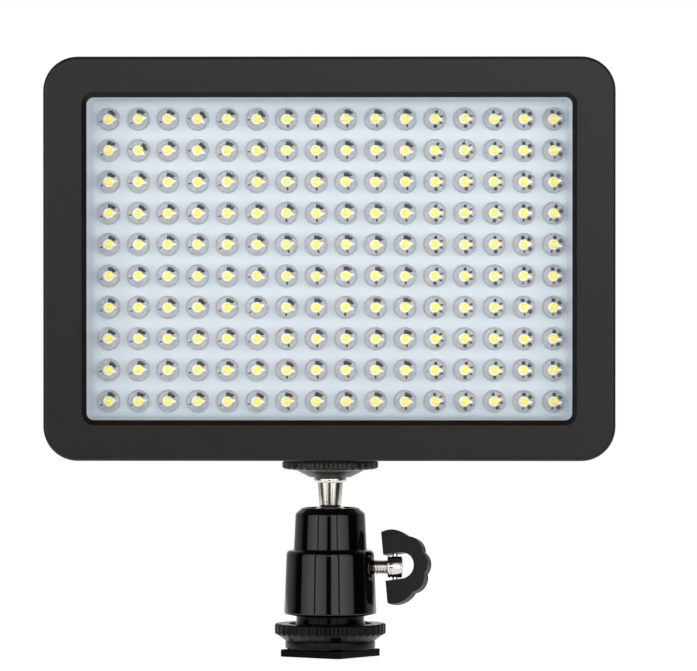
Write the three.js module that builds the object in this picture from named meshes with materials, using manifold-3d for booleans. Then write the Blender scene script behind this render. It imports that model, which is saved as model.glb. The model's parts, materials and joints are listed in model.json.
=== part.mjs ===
// On-camera LED video light on a ball head with a shoe foot, in millimetres, +Z up.
// The foot's underside is at z = 0, the ball's axis is the Z axis, and the light faces -Y.
import * as THREE from "three";
import { mergeVertices } from "three/addons/utils/BufferGeometryUtils.js";
import Module from "manifold-3d";

// Panel, seen from the front
const panelWidth = 143.2;
const panelHeight = 101.2;
const panelCorner = 8.6;
const faceEdge = 1;
const bezelSide = 10.8; // window to panel edge, left and right
const bezelEnd = 10.2; // window to panel edge, top and bottom
const windowCorner = 1.8;
const windowBevel = 1.2;

// Panel, in depth
const faceOffset = 15; // ball axis to the bezel's face
const bezelDepth = 8;
const housingDepth = 20;
const shellWall = 2.2;
const faceWall = 2.4;
const partingStep = 0.3;
const housingDraft = 0.6;
const housingEdge = 3;
const tongueLength = 1.5;
const tongueThickness = 1.4;
const tongueRoot = 1.1;

// Screw towers and posts
const towerInset = 7.8; // panel edge to the screw's axis
const bezelBossRadius = 2.8;
const towerRadius = 4.2;
const towerFloor = 2.5;
const counterboreRadius = 3;
const boardPostRadius = 2.4;

// Reflector frame
const wellDepth = 10; // bezel face to LED board
const reflectorWall = 1.2;
const reflectorSideDraft = 1.3;
const reflectorEndDraft = 0.8;
const reflectorFlange = 1.3;
const reflectorFlangeThickness = 1;

// LEDs and their board
const ledColumns = 16;
const ledRows = 10;
const ledSideMargin = 3.55; // reflector floor's edge to the first column
const ledEndMargin = 4.1;
const ledGridShift = 0.28;
const ledFlangeRadius = 2.9;
const ledFlangeHeight = 0.9;
const ledRadius = 2.45;
const ledHeight = 5;
const ledTipRadius = 1.7;
const ledSeat = 0.2; // how far the flange is soldered into the board's face
const boardThickness = 1.6;
const ledBoardInset = 3.6; // panel edge to LED board, left and right
const ledBoardEndInset = 8.6;
const notchMargin = 2;

// Driver board and what it carries
const driverInset = 13.6; // panel edge to driver board, left and right
const driverHeight = 62;
const componentSpace = 7.2; // driver board to rear wall
const driverPostInset = 3.5;
const driverPostRadius = 2.6;
const connectorWidth = 12;
const connectorHeight = 5;
const inductorRadius = 5.5;
const inductorHeight = 5;
const inductorWaist = 1.4;
const inductorFlange = 1;
const inductorX = 22;
const inductorZ = 10;
const capacitorRadius = 4;
const capacitorRoom = 0.8; // capacitor to rear wall
const capacitorCrimp = 0.4;
const capacitorGap = 2.4; // capacitors to the battery plate's bosses
const capacitorZ = 14;
const capacitorPitch = 10;
const chipWidth = 9;
const chipHeight = 6;
const chipThickness = 1.5;
const chipX = 8;

// Screws
const screwShank = 1;
const screwHead = 2;
const screwHeadHeight = 1.3;
const screwLength = 4.5;
const housingScrewShank = 1.1;
const housingScrewHead = 2.5;
const housingScrewHeadHeight = 1.9;
const housingScrewLength = 7;
const pilotMargin = 1; // hole beyond the screw's tip

// Dimmer
const controlInset = 24.6; // panel edge to the dimmer's and the jack's axes
const dimmerZ = 16;
const potRadius = 8;
const bushingRadius = 3.4;
const bushingLength = 3.4; // out from the rear face
const potNutRadius = 5;
const potNutHeight = 1.8;
const shaftRadius = 2;
const shaftLength = 6;
const shaftSeat = 4; // how deep the shaft sits in the bushing
const knobRadius = 8;
const knobHeight = 10;
const knobFlutes = 18;
const fluteDepth = 0.6;
const knobRoof = 2;
const knobLift = 0.6; // gap between knob and rear face
const knobMark = 0.8;
const knobTurn = -30; // degrees about Y, with the mark at its off end

// Battery test
const testZ = -4;
const testRadius = 3.2;
const testFlangeRadius = 4.3;
const testFlangeThickness = 1;
const testProud = 1.2;
const testTravel = 0.6;
const switchSide = 6;
const switchHeight = 3.2;
const gaugeZ = -16;
const gaugePitch = 4;
const gaugeCount = 4;
const gaugeRadius = 1;
const gaugeProud = 0.4;

// Power jack
const jackZ = -16;
const jackWidth = 9;
const jackCollarRadius = 4;
const jackBore = 2.8;
const jackPinRadius = 1;
const jackRecess = 0.4;
const jackFloor = 1.2;

// Vents
const ventCount = 6;
const ventPitch = 4;
const ventWidth = 22;
const ventHeight = 1.8;
const ventZ = 12;

// Battery plate
const plateWidth = 46;
const plateLow = -38; // its lower and upper ends, from the panel's centre
const plateHigh = 45.4;
const plateBase = 3;
const railHeight = 8;
const railWall = 3.4;
const railHook = 2;
const railHookThickness = 2;
const railHigh = 30; // the rails' upper end
const railNotch = 12; // gap in each hook, at mid length
const stopWall = 3.4;
const plateScrewX = 14;
const plateScrewLow = -16;
const plateScrewHigh = 26;
const plateBossRadius = 2.6;
const plateBossDepth = 3;

// Contacts
const blockWidth = 22;
const blockHeight = 5;
const blockThickness = 4;
const contactCount = 3;
const contactPitch = 7;
const contactThickness = 0.8;
const contactDepth = 2.6;
const contactReach = 3.6; // beyond the block
const contactSeat = 3;

// Battery release
const releaseWidth = 10;
const releaseHeight = 8;
const releaseTooth = 2.2; // stands above the plate's floor
const releaseToothHeight = 2.2;
const releasePad = 1.2;
const releasePadHeight = 4.4;
const releaseTravel = 2.4;
const releaseTop = 0.7; // plate's upper end to the release
const releaseLip = 1.3; // flange that holds it behind the plate
const releaseLipThickness = 0.9;
const pocketWall = 1.2;
const springSolid = 2.55; // the spring's length when the release is pressed
const springRadius = 2.4;
const springWire = 0.6;

// Tripod insert and the stud that it takes
const insertRadius = 4.7;
const insertLength = 7;
const insertBossRadius = 6.6;
const insertRoof = 0.8;
const seatPadHalfWidth = 13;
const studRadius = 3.175;
const studReach = 6; // into the light

// Shoe foot and lock wheel
const footSide = 18.6;
const footThickness = 1.8;
const footTurn = 55; // degrees about Z
const footCorner = 0.8;
const postRadius = 3.2;
const postHeadRadius = 4.6;
const postHeadHeight = 0.9;
const ringGap = 0.2;
const ringThickness = 2;
const ringRadius = 11.36;
const ringEdge = 0.4;
const wheelGap = 0.05;
const wheelRadius = 14.03;
const wheelUnderRadius = 11.4;
const wheelConeHeight = 1.65;
const wheelRimHeight = 2.6;
const wheelDish = 10.5; // inner radius of the rim's top
const wheelDishFloor = 10.2;
const wheelTeeth = 40;
const toothDepth = 0.45;

// Ball housing and its base plug
const neckGap = 2.3; // wheel's floor to the neck
const neckRadius = 8.6;
const neckFoot = 0.3; // how far the neck flares at its lower end
const neckHeight = 2.1;
const housingBevel = 0.8;
const lowerRadius = 11.7;
const lowerTopRadius = 11.1;
const lowerHeight = 16;
const shoulderEdge = 1;
const upperRadius = 9.2;
const upperTopRadius = 8.8;
const upperHeight = 9.16;
const mouthBevelHeight = 1.49;
const mouthOuterRadius = 6.95;
const plugRadius = 7.4;
const plugLength = 5;
const plugWall = 0.9; // left above the post's end

// Ball stem
const ballRadius = 6.5;
const ballDrop = 5.55; // ball's centre below the housing's top
const mouthRadius = 5.5;
const mouthFlare = 6.6;
const neckLowRadius = 2.73;
const neckTopRadius = 3.25;
const stemLength = 12; // ball's centre to the collar
const collarRadius = 4.1;
const collarHeight = 1.2;
const seatLow = 11.5; // ball's centre to the seat cone's tip
const seatTipRadius = 1;
const seatGuide = 2.4; // ball's centre to the seat's rim

// Lock screw, its plug and its wing
const lockDrop = 9.5; // ball's centre to the lock screw's axis
const screwRadius = 1.95;
const screwInnerEnd = 8.5;
const pressurePlugRadius = 2.2;
const pressureTipRadius = 0.6;
const headStart = 14.4;
const headLength = 3.9;
const headRadius = 2.72;
const headEdge = 0.3;
const wingPinRadius = 0.65;
const wingPinReach = 6.8;
const wingThickness = 3.3;
const wingArm = 2.35; // pin to the arms' ends
const wingSlot = 3.35;
const wingSlotCentre = 2.1; // beyond the pin
const lobePeak = 9.15;
const lobeRadius = 3.9;
const lobePitch = 38.5; // degrees
const armShift = 0.3; // centre of an arm's round edge, short of the pin
const armRise = 3.55; // and the same centre from the screw's axis
const armRadius = 5.93;
const wingEdge = 0.3;
const wingLean = 5.4; // degrees in the wing's own plane
const screwTurn = -10; // degrees about X
const wingTurn = -17; // degrees about the pin

// Lock disc and friction pad
const discGap = 0.1;
const discLipRadius = 5.3;
const discConeHeight = 1.6;
const discConeRadius = 8.5;
const discUnderHeight = 0.65;
const discRadius = 12.1;
const discRimHeight = 1.65;
const discTeeth = 32;
const padThickness = 0.5;
const padRadius = 11.6;
const padGap = 0.05;

// Clearances, shared by everything that fits into something else
const fitGap = 0.15;
const restGap = 0.3;
const runningGap = 0.1;
const overrun = 1; // how far a cutter passes a face

// Facets
const cornerSteps = 4;
const edgeSteps = 2;
const fineSides = 24;
const midSides = 16;
const coarseSides = 10;
const screwSides = 6;
const ledSides = 6;
const nutSides = 6;
const mergeTolerance = 1e-4;

// Places that follow from the sizes above, in the light's own frame: origin at the panel's centre on the ball axis
const faceY = -faceOffset;
const partingY = faceY + bezelDepth;
const rearY = partingY + housingDepth;
const rearInnerY = rearY - shellWall;
const boardY = faceY + wellDepth;
const boardBackY = boardY + boardThickness;
const driverBackY = rearInnerY - componentSpace;
const driverY = driverBackY - boardThickness;
const plateFloorY = rearY + plateBase;
const windowWidth = panelWidth - 2 * bezelSide;
const windowHeight = panelHeight - 2 * bezelEnd;
const towerX = panelWidth / 2 - towerInset;
const towerZ = panelHeight / 2 - towerInset;
const reflectorHalf = windowWidth / 2 + reflectorFlange;
const tongueInner = panelWidth / 2 - shellWall - fitGap - tongueThickness;
const boardPostX = (reflectorHalf + tongueInner) / 2;
const boardPostZ = windowHeight / 2 - bezelEnd;
const driverWidth = panelWidth - 2 * driverInset;
const driverPostX = driverWidth / 2 - driverPostInset;
const driverPostZ = driverHeight / 2 - driverPostInset;
const dimmerX = panelWidth / 2 - controlInset;
const capacitorHeight = componentSpace - capacitorRoom;
const capacitorX = plateScrewX + plateBossRadius + capacitorGap + capacitorRadius;

// Heights on the ball head, from the foot's underside
const ringZ = footThickness + ringGap;
const wheelZ = ringZ + ringThickness + wheelGap;
const wheelFloorZ = wheelZ + wheelConeHeight;
const wheelTopZ = wheelFloorZ + wheelRimHeight;
const neckZ = wheelFloorZ + neckGap;
const bevelZ = neckZ + neckHeight;
const lowerZ = bevelZ + housingBevel;
const shoulderZ = lowerZ + lowerHeight;
const upperTopZ = shoulderZ + upperHeight;
const mouthZ = upperTopZ + mouthBevelHeight;
const ballZ = mouthZ - ballDrop;
const lockZ = ballZ - lockDrop;
const collarZ = ballZ + stemLength;
const discZ = collarZ + collarHeight + discGap;
const discRimZ = discZ + discConeHeight + discUnderHeight;
const padZ = discRimZ + discRimHeight;
const lightZ = padZ + padThickness + padGap;
const panelZ = lightZ + panelHeight / 2;

const wasm = await Module();
wasm.setup();

const degrees = (angle) => THREE.MathUtils.degToRad(angle);

// Geometry to solid, solid to geometry, and the three booleans

function toSolid(geometry) {
  const bare = new THREE.BufferGeometry();
  bare.setAttribute("position", geometry.getAttribute("position").clone());
  if (geometry.index) bare.setIndex(geometry.index.clone());
  const merged = mergeVertices(bare, mergeTolerance);
  return new wasm.Manifold(
    new wasm.Mesh({
      numProp: 3,
      vertProperties: merged.getAttribute("position").array,
      triVerts: new Uint32Array(merged.index.array),
    }),
  );
}

function toGeometry(solid) {
  const { vertProperties, triVerts, numProp } = solid.getMesh();
  const geometry = new THREE.BufferGeometry();
  geometry.setAttribute("position", new THREE.BufferAttribute(vertProperties, numProp));
  geometry.setIndex(new THREE.BufferAttribute(triVerts, 1));
  const faceted = geometry.toNonIndexed();
  faceted.computeVertexNormals();
  return faceted;
}

const asSolid = (shape) => (shape.isBufferGeometry ? toSolid(shape) : shape);

const join = (...shapes) => shapes.map(asSolid).reduce((whole, part) => whole.add(part));

const cut = (body, ...tools) =>
  tools.map(asSolid).reduce((rest, tool) => rest.subtract(tool), asSolid(body));

const common = (first, second) => asSolid(first).intersect(asSolid(second));

// Basic forms

// A solid of revolution about Z, from [radius, height] pairs that run outwards, up and back in.
function turned(profile, sides) {
  const points = profile.map(([radius, height]) => new THREE.Vector2(radius, height));
  return new THREE.LatheGeometry(points, sides).rotateX(Math.PI / 2);
}

// A ring of revolution: its profile closes on itself and stays off the axis.
const turnedRing = (profile, sides) => turned([...profile, profile[0]], sides);

// A round bar along Z from one height to another.
function bar(radius, from, to, sides) {
  return turned([[0, from], [radius, from], [radius, to], [0, to]], sides);
}

// Turns a form made along +Z to run along +Y, and one made along +Z to run along +X.
const alongY = (geometry) => geometry.rotateX(-Math.PI / 2);
const alongX = (geometry) => geometry.rotateY(Math.PI / 2);

// A round bar along Y, and a box from its low corner to its high corner.
function barY(radius, from, to, x, z, sides = coarseSides) {
  return alongY(bar(radius, from, to, sides)).translate(x, 0, z);
}

function block(low, high) {
  const size = high.map((value, axis) => value - low[axis]);
  const middle = high.map((value, axis) => (value + low[axis]) / 2);
  return new THREE.BoxGeometry(...size).translate(...middle);
}

// A rounded rectangle's points in x and z, counter-clockwise as the light's front is seen.
function roundedOutline(width, height, corner) {
  const quarters = [[1, 1], [-1, 1], [-1, -1], [1, -1]];
  return quarters.flatMap(([sideX, sideZ], quarter) =>
    Array.from({ length: cornerSteps + 1 }, (_, step) => {
      const angle = ((quarter + step / cornerSteps) * Math.PI) / 2;
      return new THREE.Vector2(
        sideX * (width / 2 - corner) + corner * Math.cos(angle),
        sideZ * (height / 2 - corner) + corner * Math.sin(angle),
      );
    }),
  );
}

// A closed skin through rounded rectangles, each { width, height, corner, at } with its own depth along Y.
function loft(sections) {
  const rings = sections.map(({ width, height, corner, at }) =>
    roundedOutline(width, height, corner).map((point) => [point.x, at, point.y]),
  );
  const count = rings[0].length;
  const last = (rings.length - 1) * count;
  const index = [];
  for (let ring = 0; ring < rings.length - 1; ring++) {
    for (let i = 0; i < count; i++) {
      const here = ring * count + i;
      const next = ring * count + ((i + 1) % count);
      index.push(here, here + count, next, next, here + count, next + count);
    }
  }
  for (let i = 1; i < count - 1; i++) {
    index.push(0, i, i + 1);
    index.push(last, last + i + 1, last + i);
  }
  const geometry = new THREE.BufferGeometry();
  geometry.setAttribute("position", new THREE.Float32BufferAttribute(rings.flat(2), 3));
  geometry.setIndex(index);
  return geometry;
}

// The panel's outline drawn in by an inset, at a depth.
function panelSection(inset, at) {
  return {
    width: panelWidth - 2 * inset,
    height: panelHeight - 2 * inset,
    corner: panelCorner - inset,
    at,
  };
}

// The window's outline, grown by different amounts at its sides and its ends, at a depth.
function windowSection(growSide, growEnd, at) {
  return {
    width: windowWidth + 2 * growSide,
    height: windowHeight + 2 * growEnd,
    corner: windowCorner + Math.max(growSide, growEnd, 0),
    at,
  };
}

// The four corners of a rectangle round the panel's centre, as [x, z].
const corners = (x, z) => [[x, z], [-x, z], [-x, -z], [x, -z]];

// A toothed outline: every other point is drawn in by the tooth's depth.
function toothedShape(radius, depth, teeth) {
  const points = Array.from({ length: 2 * teeth }, (_, i) => {
    const reach = i % 2 ? radius - depth : radius;
    const angle = (i * Math.PI) / teeth;
    return new THREE.Vector2(reach * Math.cos(angle), reach * Math.sin(angle));
  });
  return new THREE.Shape(points);
}

function prism(shape, from, to) {
  return new THREE.ExtrudeGeometry(shape, {
    depth: to - from,
    bevelEnabled: false,
    curveSegments: coarseSides,
  }).translate(0, 0, from);
}

// A pan-head screw with its seat at z = 0, its shank down and its head up.
function screwGeometry(shank, length, head, headHeight) {
  return turned(
    [[0, -length], [shank, -length], [shank, 0], [head, 0], [head, headHeight], [0, headHeight]],
    screwSides,
  );
}

// Pieces of the light

function frontBezel() {
  const edge = Array.from({ length: edgeSteps + 1 }, (_, step) => {
    const angle = ((step / edgeSteps) * Math.PI) / 2;
    return panelSection(faceEdge * (1 - Math.sin(angle)), faceY + faceEdge * (1 - Math.cos(angle)));
  });
  const outside = loft([...edge, panelSection(0, partingY)]);
  const cavity = loft([
    panelSection(shellWall, faceY + faceWall),
    panelSection(shellWall, partingY + overrun),
  ]);
  const opening = loft([
    windowSection(windowBevel, windowBevel, faceY - overrun),
    windowSection(windowBevel, windowBevel, faceY),
    windowSection(0, 0, faceY + windowBevel),
    windowSection(0, 0, faceY + faceWall + overrun),
  ]);
  const innerFace = faceY + faceWall / 2;
  const bosses = corners(towerX, towerZ).map(([x, z]) =>
    barY(bezelBossRadius, innerFace, partingY, x, z),
  );
  const posts = corners(boardPostX, boardPostZ).map(([x, z]) =>
    barY(boardPostRadius, innerFace, boardY, x, z),
  );
  const bossPilot = housingScrewLength - towerFloor + pilotMargin;
  const pilots = [
    ...corners(towerX, towerZ).map(([x, z]) =>
      barY(housingScrewShank + fitGap, partingY - bossPilot, partingY + overrun, x, z, screwSides),
    ),
    ...corners(boardPostX, boardPostZ).map(([x, z]) => {
      const depth = screwLength - boardThickness + pilotMargin;
      return barY(screwShank + fitGap, boardY - depth, boardY + overrun, x, z, screwSides);
    }),
  ];
  return cut(join(cut(outside, cavity, opening), ...bosses, ...posts), ...pilots);
}

function reflectorFrame() {
  const front = faceY + faceWall;
  const flangeBack = front + reflectorFlangeThickness;
  const outside = loft([
    windowSection(reflectorWall, reflectorWall, front),
    windowSection(reflectorWall - reflectorSideDraft, reflectorWall - reflectorEndDraft, boardY),
  ]);
  const flange = loft([
    windowSection(reflectorFlange, reflectorFlange, front),
    windowSection(reflectorFlange, reflectorFlange, flangeBack),
  ]);
  const slope = overrun / (boardY - front);
  const inside = loft([
    windowSection(reflectorSideDraft * slope, reflectorEndDraft * slope, front - overrun),
    windowSection(
      -reflectorSideDraft * (1 + slope),
      -reflectorEndDraft * (1 + slope),
      boardY + overrun,
    ),
  ]);
  return cut(join(outside, flange), inside);
}

// One LED along Z: a sloped flange and a body that draws in to its tip.
function ledGeometry() {
  return turned(
    [
      [0, -ledSeat],
      [ledFlangeRadius, -ledSeat],
      [ledRadius, ledFlangeHeight],
      [ledTipRadius, ledHeight],
      [0, ledHeight],
    ],
    ledSides,
  );
}

// The board and its LEDs, which are soldered to it.
function ledBoard() {
  const boardWidth = panelWidth - 2 * ledBoardInset;
  const boardHeight = panelHeight - 2 * ledBoardEndInset;
  const low = [-boardWidth / 2, boardY, -boardHeight / 2];
  const high = [boardWidth / 2, boardBackY, boardHeight / 2];
  const notches = corners(towerX, towerZ).map(([x, z]) =>
    barY(bezelBossRadius + notchMargin, boardY - overrun, boardBackY + overrun, x, z),
  );
  const holes = corners(boardPostX, boardPostZ).map(([x, z]) =>
    barY(screwShank + fitGap, boardY - overrun, boardBackY + overrun, x, z, screwSides),
  );
  const gridWidth = windowWidth - 2 * reflectorSideDraft - 2 * ledSideMargin;
  const gridHeight = windowHeight - 2 * reflectorEndDraft - 2 * ledEndMargin;
  const leds = [];
  for (let column = 0; column < ledColumns; column++) {
    for (let row = 0; row < ledRows; row++) {
      const x = (column / (ledColumns - 1) - 1 / 2) * gridWidth + ledGridShift;
      const z = (row / (ledRows - 1) - 1 / 2) * gridHeight;
      leds.push(toSolid(ledGeometry().rotateX(Math.PI / 2).translate(x, boardY, z)));
    }
  }
  return wasm.Manifold.union([cut(block(low, high), ...notches, ...holes), ...leds]);
}

// The rear shell before anything is cut into it.
function housingShell() {
  const rearInset = partingStep + housingDraft;
  const edge = Array.from({ length: edgeSteps + 1 }, (_, step) => {
    const angle = ((step / edgeSteps) * Math.PI) / 2;
    return panelSection(
      rearInset + housingEdge * (1 - Math.cos(angle)),
      rearY - housingEdge * (1 - Math.sin(angle)),
    );
  });
  const outside = loft([panelSection(partingStep, partingY), ...edge]);
  const inside = loft([
    panelSection(partingStep + shellWall, partingY - overrun),
    panelSection(rearInset + shellWall, rearInnerY),
  ]);
  const tongueBack = partingY + tongueRoot;
  const tongue = cut(
    loft([
      panelSection(shellWall + fitGap, partingY - tongueLength),
      panelSection(shellWall + fitGap, tongueBack),
    ]),
    loft([
      panelSection(shellWall + fitGap + tongueThickness, partingY - tongueLength - overrun),
      panelSection(shellWall + fitGap + tongueThickness, tongueBack + overrun),
    ]),
  );
  return join(cut(outside, inside), tongue);
}

// The release's place: its lower and upper ends, from the panel's centre.
const releaseHighZ = plateHigh - releaseTop;
const releaseLowZ = releaseHighZ - releaseHeight;
const releaseMiddleZ = (releaseHighZ + releaseLowZ) / 2;
const flangeBackY = rearY - fitGap - releaseLipThickness;
const pocketFloorY = flangeBackY - releaseTravel - springSolid;

// The pocket behind the release, as its inner width and its lower and upper ends.
const pocketHalf = releaseWidth / 2 + releaseLip + restGap;
const pocketLowZ = releaseLowZ - restGap;
const pocketHighZ = releaseHighZ + restGap;

function rearHousing() {
  const insideWall = rearInnerY + shellWall / 2;
  const towers = corners(towerX, towerZ).map(([x, z]) =>
    barY(towerRadius, partingY, insideWall, x, z),
  );
  const driverPosts = [driverPostZ, -driverPostZ].map((z) =>
    barY(driverPostRadius, driverBackY, insideWall, z > 0 ? driverPostX : -driverPostX, z),
  );
  const plateBosses = plateScrews().map(([x, z]) =>
    barY(plateBossRadius, rearInnerY - plateBossDepth, insideWall, x, z),
  );
  const pocketShell = block(
    [-pocketHalf - pocketWall, pocketFloorY - pocketWall, pocketLowZ - pocketWall],
    [pocketHalf + pocketWall, insideWall, pocketHighZ + pocketWall],
  );
  const bottom = -panelHeight / 2;
  const insertBoss = bar(
    insertBossRadius,
    bottom + shellWall / 2,
    bottom + insertLength + insertRoof,
    midSides,
  );
  const seatPad = block(
    [-seatPadHalfWidth, partingY, bottom],
    [seatPadHalfWidth, rearY - housingEdge, bottom + shellWall],
  );
  const body = join(
    housingShell(),
    ...towers,
    ...driverPosts,
    ...plateBosses,
    pocketShell,
    insertBoss,
    seatPad,
  );
  return cut(body, ...housingHoles());
}

function plateScrews() {
  return [plateScrewLow, plateScrewHigh].flatMap((z) => [[-plateScrewX, z], [plateScrewX, z]]);
}

// Everything that is drilled or cut through the rear housing.
function housingHoles() {
  const past = rearY + overrun;
  const towerHoles = corners(towerX, towerZ).flatMap(([x, z]) => [
    barY(counterboreRadius, partingY + towerFloor, past, x, z),
    barY(housingScrewShank + fitGap, partingY - overrun, past, x, z, screwSides),
  ]);
  const postHoles = [1, -1].map((side) => {
    const depth = screwLength - boardThickness + pilotMargin;
    const place = [side * driverPostX, side * driverPostZ];
    return barY(screwShank + fitGap, driverBackY - overrun, driverBackY + depth, ...place, screwSides);
  });
  const plateHoles = plateScrews().map(([x, z]) =>
    barY(screwShank + fitGap, rearInnerY - plateBossDepth - overrun, past, x, z, screwSides),
  );
  const vents = Array.from({ length: ventCount }, (_, i) => {
    const z = ventZ + (i - (ventCount - 1) / 2) * ventPitch;
    return block(
      [dimmerX - ventWidth / 2, rearInnerY - overrun, z - ventHeight / 2],
      [dimmerX + ventWidth / 2, past, z + ventHeight / 2],
    );
  });
  const gaugeHoles = gaugePlaces().map((x) =>
    barY(gaugeRadius + fitGap, rearInnerY - overrun, past, x, gaugeZ, screwSides),
  );
  const bottom = -panelHeight / 2;
  return [
    ...towerHoles,
    ...postHoles,
    ...plateHoles,
    ...vents,
    ...gaugeHoles,
    barY(bushingRadius + fitGap, rearInnerY - overrun, past, -dimmerX, dimmerZ, midSides),
    barY(testRadius + fitGap, rearInnerY - overrun, past, -dimmerX, testZ),
    barY(jackCollarRadius + fitGap, rearInnerY - overrun, past, dimmerX, jackZ),
    block([-pocketHalf, pocketFloorY, pocketLowZ], [pocketHalf, past, pocketHighZ]),
    bar(insertRadius + fitGap, bottom - overrun, bottom + insertLength, midSides),
  ];
}

const gaugePlaces = () =>
  Array.from({ length: gaugeCount }, (_, i) => -dimmerX + (i - (gaugeCount - 1) / 2) * gaugePitch);

function tripodInsert() {
  const low = -panelHeight / 2;
  const high = low + insertLength;
  const bore = studRadius + fitGap;
  return turnedRing([[bore, low], [insertRadius, low], [insertRadius, high], [bore, high]], midSides);
}

function driverBoard() {
  const board = block(
    [-driverWidth / 2, driverY, -driverHeight / 2],
    [driverWidth / 2, driverBackY, driverHeight / 2],
  );
  const holes = [1, -1].map((side) => {
    const place = [side * driverPostX, side * driverPostZ];
    return barY(screwShank + fitGap, driverY - overrun, driverBackY + overrun, ...place, screwSides);
  });
  return cut(board, ...holes);
}

function boardConnector() {
  return block(
    [-connectorWidth / 2, boardBackY, -connectorHeight / 2],
    [connectorWidth / 2, driverY, connectorHeight / 2],
  );
}

// A drum inductor: two flanges with a wound waist between them.
function inductor() {
  const waist = inductorRadius - inductorWaist;
  return alongY(
    turned(
      [
        [0, 0],
        [inductorRadius, 0],
        [inductorRadius, inductorFlange],
        [waist, inductorFlange],
        [waist, inductorHeight - inductorFlange],
        [inductorRadius, inductorHeight - inductorFlange],
        [inductorRadius, inductorHeight],
        [0, inductorHeight],
      ],
      coarseSides,
    ),
  );
}

function capacitor() {
  return alongY(
    turned(
      [
        [0, 0],
        [capacitorRadius, 0],
        [capacitorRadius, capacitorHeight - capacitorCrimp],
        [capacitorRadius - capacitorCrimp, capacitorHeight],
        [0, capacitorHeight],
      ],
      coarseSides,
    ),
  );
}

function driverChip() {
  return block(
    [-chipWidth / 2, 0, -chipHeight / 2],
    [chipWidth / 2, chipThickness, chipHeight / 2],
  );
}

// The pot, from the driver board to its bushing's end outside the rear face.
function dimmerPot() {
  const end = rearY + bushingLength;
  const bore = shaftRadius + fitGap;
  const body = join(
    barY(potRadius, driverBackY, rearInnerY, 0, 0, midSides),
    barY(bushingRadius, rearInnerY - overrun, end, 0, 0, midSides),
  );
  return cut(body, barY(bore, end - shaftSeat - fitGap, end + overrun, 0, 0));
}

function potNut() {
  const high = rearY + potNutHeight;
  return cut(
    barY(potNutRadius, rearY, high, 0, 0, nutSides),
    barY(bushingRadius + fitGap, rearY - overrun, high + overrun, 0, 0, midSides),
  );
}

// The shaft is pressed into the knob, so the two turn together.
function potShaft() {
  const start = rearY + bushingLength - shaftSeat;
  return barY(shaftRadius, start, start + shaftSeat + shaftLength, 0, 0);
}

function dimmerKnob() {
  const low = rearY + knobLift;
  const high = low + knobHeight;
  const skirt = common(
    prism(toothedShape(knobRadius, fluteDepth, knobFlutes), low, high),
    turned(
      [
        [0, low],
        [knobRadius, low],
        [knobRadius, high - knobRoof / 2],
        [knobRadius - knobRoof / 2, high],
        [0, high],
      ],
      fineSides,
    ),
  );
  const hollow = bar(potNutRadius + restGap, low - overrun, rearY + bushingLength + restGap, midSides);
  const shaftEnd = rearY + bushingLength + shaftLength;
  const bore = bar(shaftRadius + fitGap, low - overrun, shaftEnd + fitGap, coarseSides);
  const mark = block(
    [-knobMark / 2, 0, high - knobMark],
    [knobMark / 2, knobRadius + overrun, high + overrun],
  );
  return alongY(toGeometry(cut(skirt, hollow, bore, mark)));
}

function testSwitch() {
  return block(
    [-switchSide / 2, driverBackY, -switchSide / 2],
    [switchSide / 2, driverBackY + switchHeight, switchSide / 2],
  );
}

// The button: a stem over the switch, a flange behind the wall and a cap through it.
function testButton() {
  const stemEnd = driverBackY + switchHeight + testTravel + runningGap;
  const flangeTop = rearInnerY - fitGap;
  const top = rearY + testProud;
  return alongY(
    turned(
      [
        [0, stemEnd],
        [testRadius / 2, stemEnd],
        [testRadius / 2, flangeTop - testFlangeThickness],
        [testFlangeRadius, flangeTop - testFlangeThickness],
        [testFlangeRadius, flangeTop],
        [testRadius, flangeTop],
        [testRadius, top - gaugeProud],
        [testRadius - gaugeProud, top],
        [0, top],
      ],
      coarseSides,
    ),
  );
}

// A light pipe from its LED on the driver board to the rear face.
function gaugeLight() {
  const end = rearY + gaugeProud;
  return alongY(
    turned(
      [
        [0, driverBackY],
        [gaugeRadius, driverBackY],
        [gaugeRadius, rearY],
        [gaugeRadius / 2, end],
        [0, end],
      ],
      screwSides,
    ),
  );
}

function powerJack() {
  const mouth = rearY - jackRecess;
  const body = join(
    block([-jackWidth / 2, driverBackY, -jackWidth / 2], [jackWidth / 2, rearInnerY, jackWidth / 2]),
    barY(jackCollarRadius, rearInnerY - overrun, mouth, 0, 0),
  );
  const floor = driverBackY + jackFloor;
  const bored = cut(body, barY(jackBore, floor, mouth + overrun, 0, 0));
  return join(bored, barY(jackPinRadius, floor - jackFloor / 2, mouth - jackFloor, 0, 0, screwSides));
}

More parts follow.
